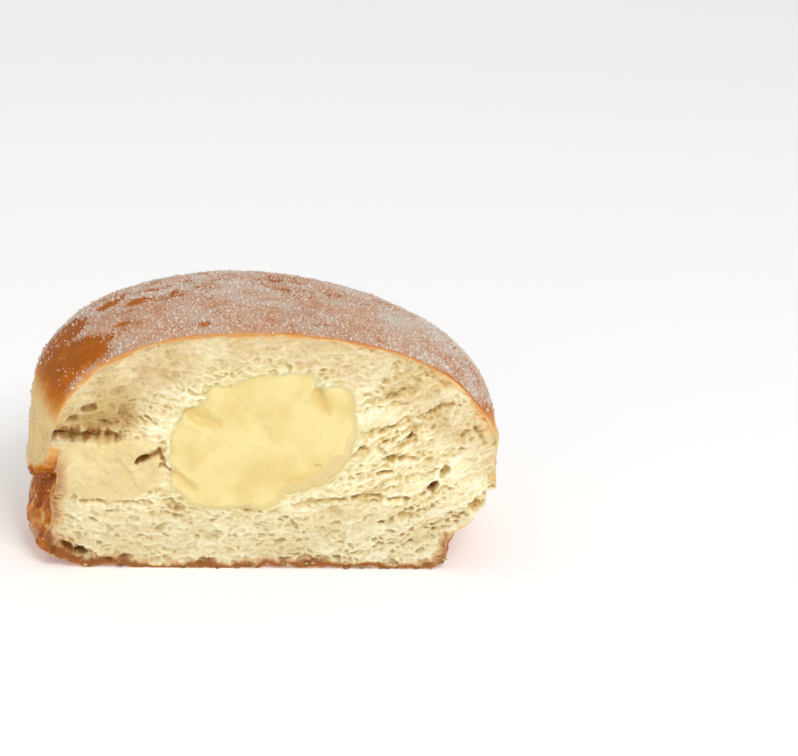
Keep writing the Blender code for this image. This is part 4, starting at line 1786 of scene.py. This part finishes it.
    def browning(self, points: Array) -> Array:
        """How brown the skin is baked, from 0 at the pale waist to 1, with painted shade under the fold.

        Args:
            points: rows of x, y and z in millimetres.

        Returns:
            Shares of roughly 0 to 1.
        """
        x, behind, z = points[:, 0], points[:, 1] - FORM.cut_y, points[:, 2]
        over_fold = z - FORM.fold_height(points)
        wander = 1.6 * cloud(points, 9.0, 201, 3)
        far = rise(behind, 8.0, 26.0)
        left = rise(-x, 22.0, 34.0) * np.exp(-behind / 5.0)
        upper = rise(z + wander + 2.6 * left, 28.0 + 0.8 * left, 36.0 - 1.6 * left)
        low = fall(over_fold + wander + 4.6 * far, -0.2 - 2.0 * far, 1.3)
        low = low * (1.0 - 0.8 * left * rise(z, 17.5, 21.5))
        patches = 0.4 * cloud(points, 3.4, 205, 3) + 0.3 * cloud(points, 1.2, 207, 2)
        # The bell just under the fold darkens the recess below its lip: painted shade.
        patches = patches + 0.4 * bell(over_fold + 2.2, 2.2) * (1.0 - far)
        at_edge = np.exp(-behind / 1.5) * (1.0 - 0.6 * rise(x, -4.0, 20.0))
        return np.maximum((0.78 - 0.5 * at_edge) * upper, (0.64 + patches) * low) + 0.04

    def sugared(self, points: Array) -> Array:
        """How thickly sugar lies on the skin, from 0 to 1.

        Args:
            points: places in millimetres, with x, y and z in the last axis.

        Returns:
            The shares.
        """
        x, y, z = points[..., 0], points[..., 1], points[..., 2]
        wander = cloud(points, 6.0, 221, 2)
        behind = rise(y - FORM.cut_y, 12.0, 34.0)
        top = rise(z + 2.5 * wander, 30.5 - 3.0 * behind, 38.0 + 5.0 * behind)
        band = (0.008 + 0.03 * behind) * rise(z, 2.0, 6.0)
        clumps = 0.02 + 0.42 * rise(cloud(points, 4.0, 229, 2), 0.25, 0.85)
        low = clumps * fall(z - FORM.fold_height(points), -2.5, 0.5) * rise(z, 1.0, 4.0)
        thick = np.maximum(np.maximum(top, low), band)
        for spot in BARE_SPOTS:
            thick = thick * (1.0 - spot.bareness * spot.cover(points))
        near_cut = rise(y - FORM.cut_y + 0.5 * wander, -0.1, 0.7)
        loose = 0.5 + 0.45 * rise(-x, 6.0, 20.0)
        patchy = 0.76 + loose * cloud(points, 3.4, 227, 2) + 0.35 * cloud(points, 11.0, 231, 2)
        return np.clip(thick * near_cut * patchy, 0.0, 1.0)

    def skin_paint(self, places: Array) -> dict[str, Array]:
        """What the crust's material reads."""
        return {"baked": self.browning(places), "haze": self.sugared(places)}

    def build(self) -> bpy.types.Mesh:
        """Makes the whole mesh with the numbers that its materials read."""
        shell = Shell()
        *skin, self.rim = self.skin_rings()
        self.skin_grid = np.stack(skin)
        back = FORM.skin(np.array([[0.0, 1.0, 0.0]]))
        before = shell.add(back, self.skin_paint(back))
        for ring in skin:
            before = shell.join(before, shell.add(ring, self.skin_paint(ring)), Slot.CRUST.value)
        edge = self.rim[:, [0, 2]]
        _, paint = self.face_points_and_paint(edge, np.zeros(len(edge)), self.rim[:, 1] - FORM.cut_y)
        rim = shell.join(before, shell.add(self.rim, self.skin_paint(self.rim) | paint), Slot.CRUST.value)
        angles = ring_angles(self.hollow_rim_points)
        hole = CUSTARD.around(angles, CUSTARD.edge_radii(angles))
        flat, corners, from_rim = self.face(edge, hole)
        numbers = shell.add(*self.face_points_and_paint(flat, from_rim, 0.0))
        shell.face(np.concatenate([rim, numbers])[corners][:, ::-1], Slot.CRUMB.value)
        before = numbers[:len(hole)]
        hollow = ring_angles(self.hollow_points)
        for ring in CUSTARD.dome(hollow, self.hollow_ring_count, self.hollow_start, 0.0):
            before = shell.join(before, shell.add(ring), Slot.CRUMB.value)
        shell.close(before, CUSTARD.end(0.0), Slot.CRUMB.value)
        mesh = shell.mesh("dough")
        mesh.set_sharp_from_angle(angle=math.radians(self.sharp))
        return mesh

    def dress(self) -> bpy.types.Object:
        """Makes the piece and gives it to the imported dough's place."""
        piece = show(self.build(), "soft_dough", [CrustFinish().make(), CrumbFinish().make()])
        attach(piece, BODY)
        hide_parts("dough")
        return piece


# ---- the sugar -------------------------------------------------------------------------------

class Crystal(Enum):
    """Shapes of a grain, as corner points and faces: a block, a double pyramid and a chip."""

    BLOCK = (
        tuple(itertools.product((-1.0, 1.0), repeat=3)),
        ((0, 1, 3, 2), (4, 6, 7, 5), (0, 4, 5, 1), (2, 3, 7, 6), (0, 2, 6, 4), (1, 5, 7, 3)),
    )
    PYRAMIDS = (
        ((1.3, 0, 0), (-1.3, 0, 0), (0, 1.3, 0), (0, -1.3, 0), (0, 0, 1.3), (0, 0, -1.3)),
        ((0, 2, 4), (2, 1, 4), (1, 3, 4), (3, 0, 4), (2, 0, 5), (1, 2, 5), (3, 1, 5), (0, 3, 5)),
    )
    CHIP = (
        ((1, 1, 1), (1, -1, -1), (-1, 1, -1), (-1, -1, 1)),
        ((0, 1, 2), (0, 3, 1), (0, 2, 3), (1, 3, 2)),
    )


@dataclass
class Sugar:
    """One kind of sugar grain, scattered over the skin as a joined mesh."""

    name: str
    crystal: Crystal
    count: int
    half: tuple[float, float]
    seed: int
    # How much whiter this kind's grains are made: painted glint.
    painted_glint: float = 0.0
    sunk: float = 0.35

    def scatter(self, dough: Dough, dice: np.random.Generator) -> tuple[Array, Array]:
        """Draws places on the skin, more where the sugar lies thicker.

        Args:
            dough: the dough, after it is built.
            dice: the source of random numbers.

        Returns:
            The places and the directions out of the skin there.
        """
        grid = dough.skin_grid
        after = np.roll(grid, -1, axis=1)
        a, b, c = grid[:-1], grid[1:], after[:-1]
        middle = (a + b + c) / 3.0
        normal = np.cross(b - a, c - a)
        area = np.linalg.norm(normal, axis=-1)
        outward = np.sign(np.sum(normal * (middle - (FORM.heart + [0.0, 20.0, 8.0])), -1, keepdims=True))
        normal = normal * outward / np.maximum(area, 1e-9)[..., None]
        weight = (area * dough.sugared(middle)).ravel()
        chosen = dice.choice(len(weight), self.count, p=weight / weight.sum())
        side, along = dice.random((2, self.count))
        a, b, c, normal = (part.reshape(-1, 3)[chosen] for part in (a, b, c, normal))
        return a + (b - a) * side[:, None] + (c - a) * along[:, None], normal

    def build(self, dough: Dough) -> bpy.types.Mesh:
        """Makes all grains as one mesh, each with its own tone.

        Args:
            dough: the dough, after it is built.

        Returns:
            The mesh.
        """
        dice = np.random.default_rng(self.seed)
        corners, faces = (np.array(part, float) for part in self.crystal.value)
        places, normals = self.scatter(dough, dice)
        turns = dice.normal(size=(self.count, 3, 3))
        turns, _ = np.linalg.qr(turns)
        half = dice.uniform(*self.half, (self.count, 1, 1)) * dice.uniform(0.7, 1.35, (self.count, 1, 3))
        shapes = corners[None] * half * (1.0 + dice.normal(0.0, 0.07, (self.count, len(corners), 3)))
        shapes = np.einsum("nij,nkj->nki", turns, shapes)
        lift = np.mean(half, axis=(1, 2)) * (1.0 - 2.0 * self.sunk)
        shapes = shapes + (places + normals * lift[:, None])[:, None, :]
        shapes[..., 1] = np.maximum(shapes[..., 1], FORM.cut_y)
        turned = np.linalg.det(turns) < 0.0
        faces = faces.astype(int)[None]
        mesh = joined(self.name, shapes, np.where(turned[:, None, None], faces[..., ::-1], faces))
        thick = rise(places[:, 1] - FORM.cut_y, 1.0, 22.0) + rise(places[:, 0], 8.0, 26.0)
        waist = 0.4 * fall(dough.browning(places), 0.1, 0.5)
        local = waist + 0.30 * dough.sugared(places) + 0.20 * thick + 0.34 * cloud(places, 5.0, 511, 3)
        tone = np.clip(local + self.painted_glint + dice.uniform(-0.38, 0.28, self.count), 0.0, 1.0)
        paint_points(mesh, "tone", np.repeat(tone, len(corners)))
        return mesh

    def dress(self, dough: Dough, finish: bpy.types.Material) -> bpy.types.Object:
        """Makes the piece on the dough.

        Args:
            dough: the dough, after it is built.
            finish: the piece's material.

        Returns:
            The piece.
        """
        piece = show(self.build(dough), self.name, [finish])
        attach(piece, BODY)
        return piece


@dataclass
class LooseCrumbs:
    """Small torn crumbs that cling to the lower edge of the cut, as one joined mesh."""

    count: int = 90
    half: tuple[float, float] = (0.18, 0.50)
    flattest: tuple[float, float, float] = (0.8, 0.5, 0.4)
    longest: tuple[float, float, float] = (1.8, 1.2, 0.9)
    rounding: float = 0.66
    highest_edge: float = 2.4
    seed: int = 601

    def build(self, dough: Dough) -> bpy.types.Mesh:
        """Makes all crumbs: double pyramids, split once and knocked out of shape.

        Args:
            dough: the dough, after it is built.

        Returns:
            The mesh.
        """
        dice = np.random.default_rng(self.seed)
        corners, faces = (np.array(part, float) for part in Crystal.PYRAMIDS.value)
        corners, faces = self.split(corners, faces.astype(int))
        edge = dough.rim[dough.rim[:, 2] < self.highest_edge]
        places = edge[dice.integers(0, len(edge), self.count)] + dice.normal(0.0, 0.25, (self.count, 3))
        places[:, 1] = FORM.cut_y + dice.uniform(0.0, 0.7, self.count)
        places[:, 2] += dice.uniform(-0.1, 0.3, self.count)
        half = dice.uniform(*self.half, self.count) ** 1.3
        squash = dice.uniform(self.flattest, self.longest, (self.count, 1, 3))
        shapes = corners[None] * half[:, None, None] * squash
        shapes = shapes * (1.0 + dice.normal(0.0, 0.24, shapes.shape)) + places[:, None, :]
        mesh = joined("loose_crumbs", shapes, faces[None])
        tone = np.repeat(dice.random(self.count), len(corners))
        paint_points(mesh, "pit", 0.4 + 0.4 * tone)
        paint_points(mesh, "rim", 0.5 + 0.5 * tone)
        paint_points(mesh, "low", np.ones(len(tone)))
        mesh.shade_smooth()
        return mesh

    def split(self, corners: Array, faces: Array) -> tuple[Array, Array]:
        """Splits each triangle in four and rounds the result."""
        places, numbers = [tuple(corner) for corner in corners], []
        for face in faces:
            middles = []
            for here, beyond in zip(face, np.roll(face, -1)):
                middle = tuple(self.rounding * (np.array(places[here]) + np.array(places[beyond])))
                if middle not in places:
                    places.append(middle)
                middles.append(places.index(middle))
            a, b, c = middles
            numbers += [(face[0], a, c), (a, face[1], b), (c, b, face[2]), (a, b, c)]
        return np.array(places), np.array(numbers)

    def dress(self, dough: Dough, finish: bpy.types.Material) -> bpy.types.Object:
        """Makes the piece on the dough.

        Args:
            dough: the dough, after it is built.
            finish: the piece's material.

        Returns:
            The piece.
        """
        piece = show(self.build(dough), "loose_crumbs", [finish])
        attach(piece, BODY)
        return piece


# ---- floor, light and camera -----------------------------------------------------------------

@dataclass(frozen=True)
class Studio:
    """Where the doughnut is looked at: a pale floor, soft light and a camera.

    Sizes are in millimetres, but the lamps' and the nearest seen distance in metres.
    """

    distance: float = 520.0
    azimuth: float = -8.88
    elevation: float = 21.40
    aside: float = 2.466
    above: float = 1.929
    roll: float = 4.04
    aim_z: float = 22.0
    focal_pixels: float = 2741.4
    sensor: float = 36.0
    clip_start: float = 0.01
    floor_half: float = 4000.0
    floor_gap: float = 0.05
    sky_strength: float = 0.50
    lamp_aim: tuple[float, float, float] = (0.0, 0.0, 0.02)

    def camera(self) -> bpy.types.Object:
        """Sets up the camera."""
        turn, lift = math.radians(self.azimuth), math.radians(self.elevation)
        back = Vector((math.sin(turn) * math.cos(lift), -math.cos(turn) * math.cos(lift), math.sin(lift)))
        place = (Vector((0.0, FORM.cut_y, self.aim_z)) + back * self.distance) * MM
        right = (-back).cross(Vector((0.0, 0.0, 1.0))).normalized()
        up = right.cross(-back)
        ahead = -back + right * math.tan(math.radians(self.aside)) + up * math.tan(math.radians(self.above))
        right = ahead.cross(up).normalized()
        up = right.cross(ahead).normalized()
        roll = math.radians(self.roll)
        level = right * math.cos(roll) + up * math.sin(roll)
        up = up * math.cos(roll) - right * math.sin(roll)
        lens = bpy.data.cameras.new("camera")
        lens.lens = self.focal_pixels / PICTURE_WIDTH * self.sensor
        lens.sensor_width = self.sensor
        lens.clip_start = self.clip_start
        camera = bpy.data.objects.new("camera", lens)
        axes = (level, up, -ahead.normalized())
        for column, axis in enumerate(axes):
            for row in range(3):
                camera.matrix_world[row][column] = axis[row]
        camera.matrix_world.translation = place
        bpy.context.scene.collection.objects.link(camera)
        bpy.context.scene.camera = camera
        return camera

    def floor(self) -> bpy.types.Object:
        """Lays the floor just under the doughnut."""
        side, low = self.floor_half, -self.floor_gap
        places = np.array([(-side, -side, low), (side, -side, low), (side, side, low), (-side, side, low)])
        mesh = mesh_from("floor", places * MM, np.array([[0, 1, 2, 3]]))
        piece = show(mesh, "floor", [FloorFinish().make()])
        return piece

    def lamp(self, name: str, place: tuple, size: float, power: float, colour: Colour) -> None:
        """Adds a soft square lamp that faces the doughnut.

        Args:
            name: the lamp's name.
            place: where it hangs, in metres.
            size: its side in metres.
            power: its strength in watts.
            colour: its colour as light.
        """
        light = bpy.data.lights.new(name, "AREA")
        light.size = size
        light.energy = power
        light.color = colour
        lamp = bpy.data.objects.new(name, light)
        lamp.location = place
        towards = Vector(self.lamp_aim) - Vector(place)
        lamp.rotation_euler = towards.to_track_quat("-Z", "Y").to_euler()
        bpy.context.scene.collection.objects.link(lamp)

    def light(self) -> None:
        """Sets the soft sky and the lamps."""
        world = bpy.data.worlds.new("soft sky")
        world.use_nodes = True
        sky = world.node_tree.nodes["Background"]
        sky.inputs["Color"].default_value = (1.0, 1.0, 1.0, 1.0)
        sky.inputs["Strength"].default_value = self.sky_strength
        bpy.context.scene.world = world
        self.lamp("key", (0.25, -0.75, 0.85), 0.5, 6.2, (1.0, 0.985, 0.96))
        self.lamp("fill", (-0.5, -0.9, 0.25), 0.6, 1.5, (1.0, 1.0, 1.0))
        self.lamp("rear", (0.1, 0.8, 0.9), 0.6, 0.4, (1.0, 1.0, 1.0))
        bpy.context.scene.view_settings.view_transform = "Standard"


def main() -> None:
    """Builds every piece in order and reports it."""
    logging.basicConfig(level=logging.INFO, format="%(name)s: %(message)s")
    studio = Studio()
    studio.camera()
    studio.floor()
    studio.light()
    filling = CustardFilling()
    dough = Dough(Crumb(), filling)
    pieces = [dough.dress(), filling.dress()]
    finish = SugarFinish().make()
    kinds = (
        Sugar("sugar_dust", Crystal.CHIP, 46000, (0.10, 0.17), 501),
        Sugar("fine_sugar", Crystal.PYRAMIDS, 17000, (0.12, 0.20), 502),
        # The large grains are made whiter: painted glints.
        Sugar("sugar_grains", Crystal.BLOCK, 3200, (0.16, 0.26), 503, 0.28),
    )
    pieces += [kind.dress(dough, finish) for kind in kinds]
    pieces.append(LooseCrumbs().dress(dough, bpy.data.materials["crumb"]))
    for piece in pieces:
        LOG.info("%s: %d faces", piece.name, len(piece.data.polygons))


if __name__ == "__main__":
    main()
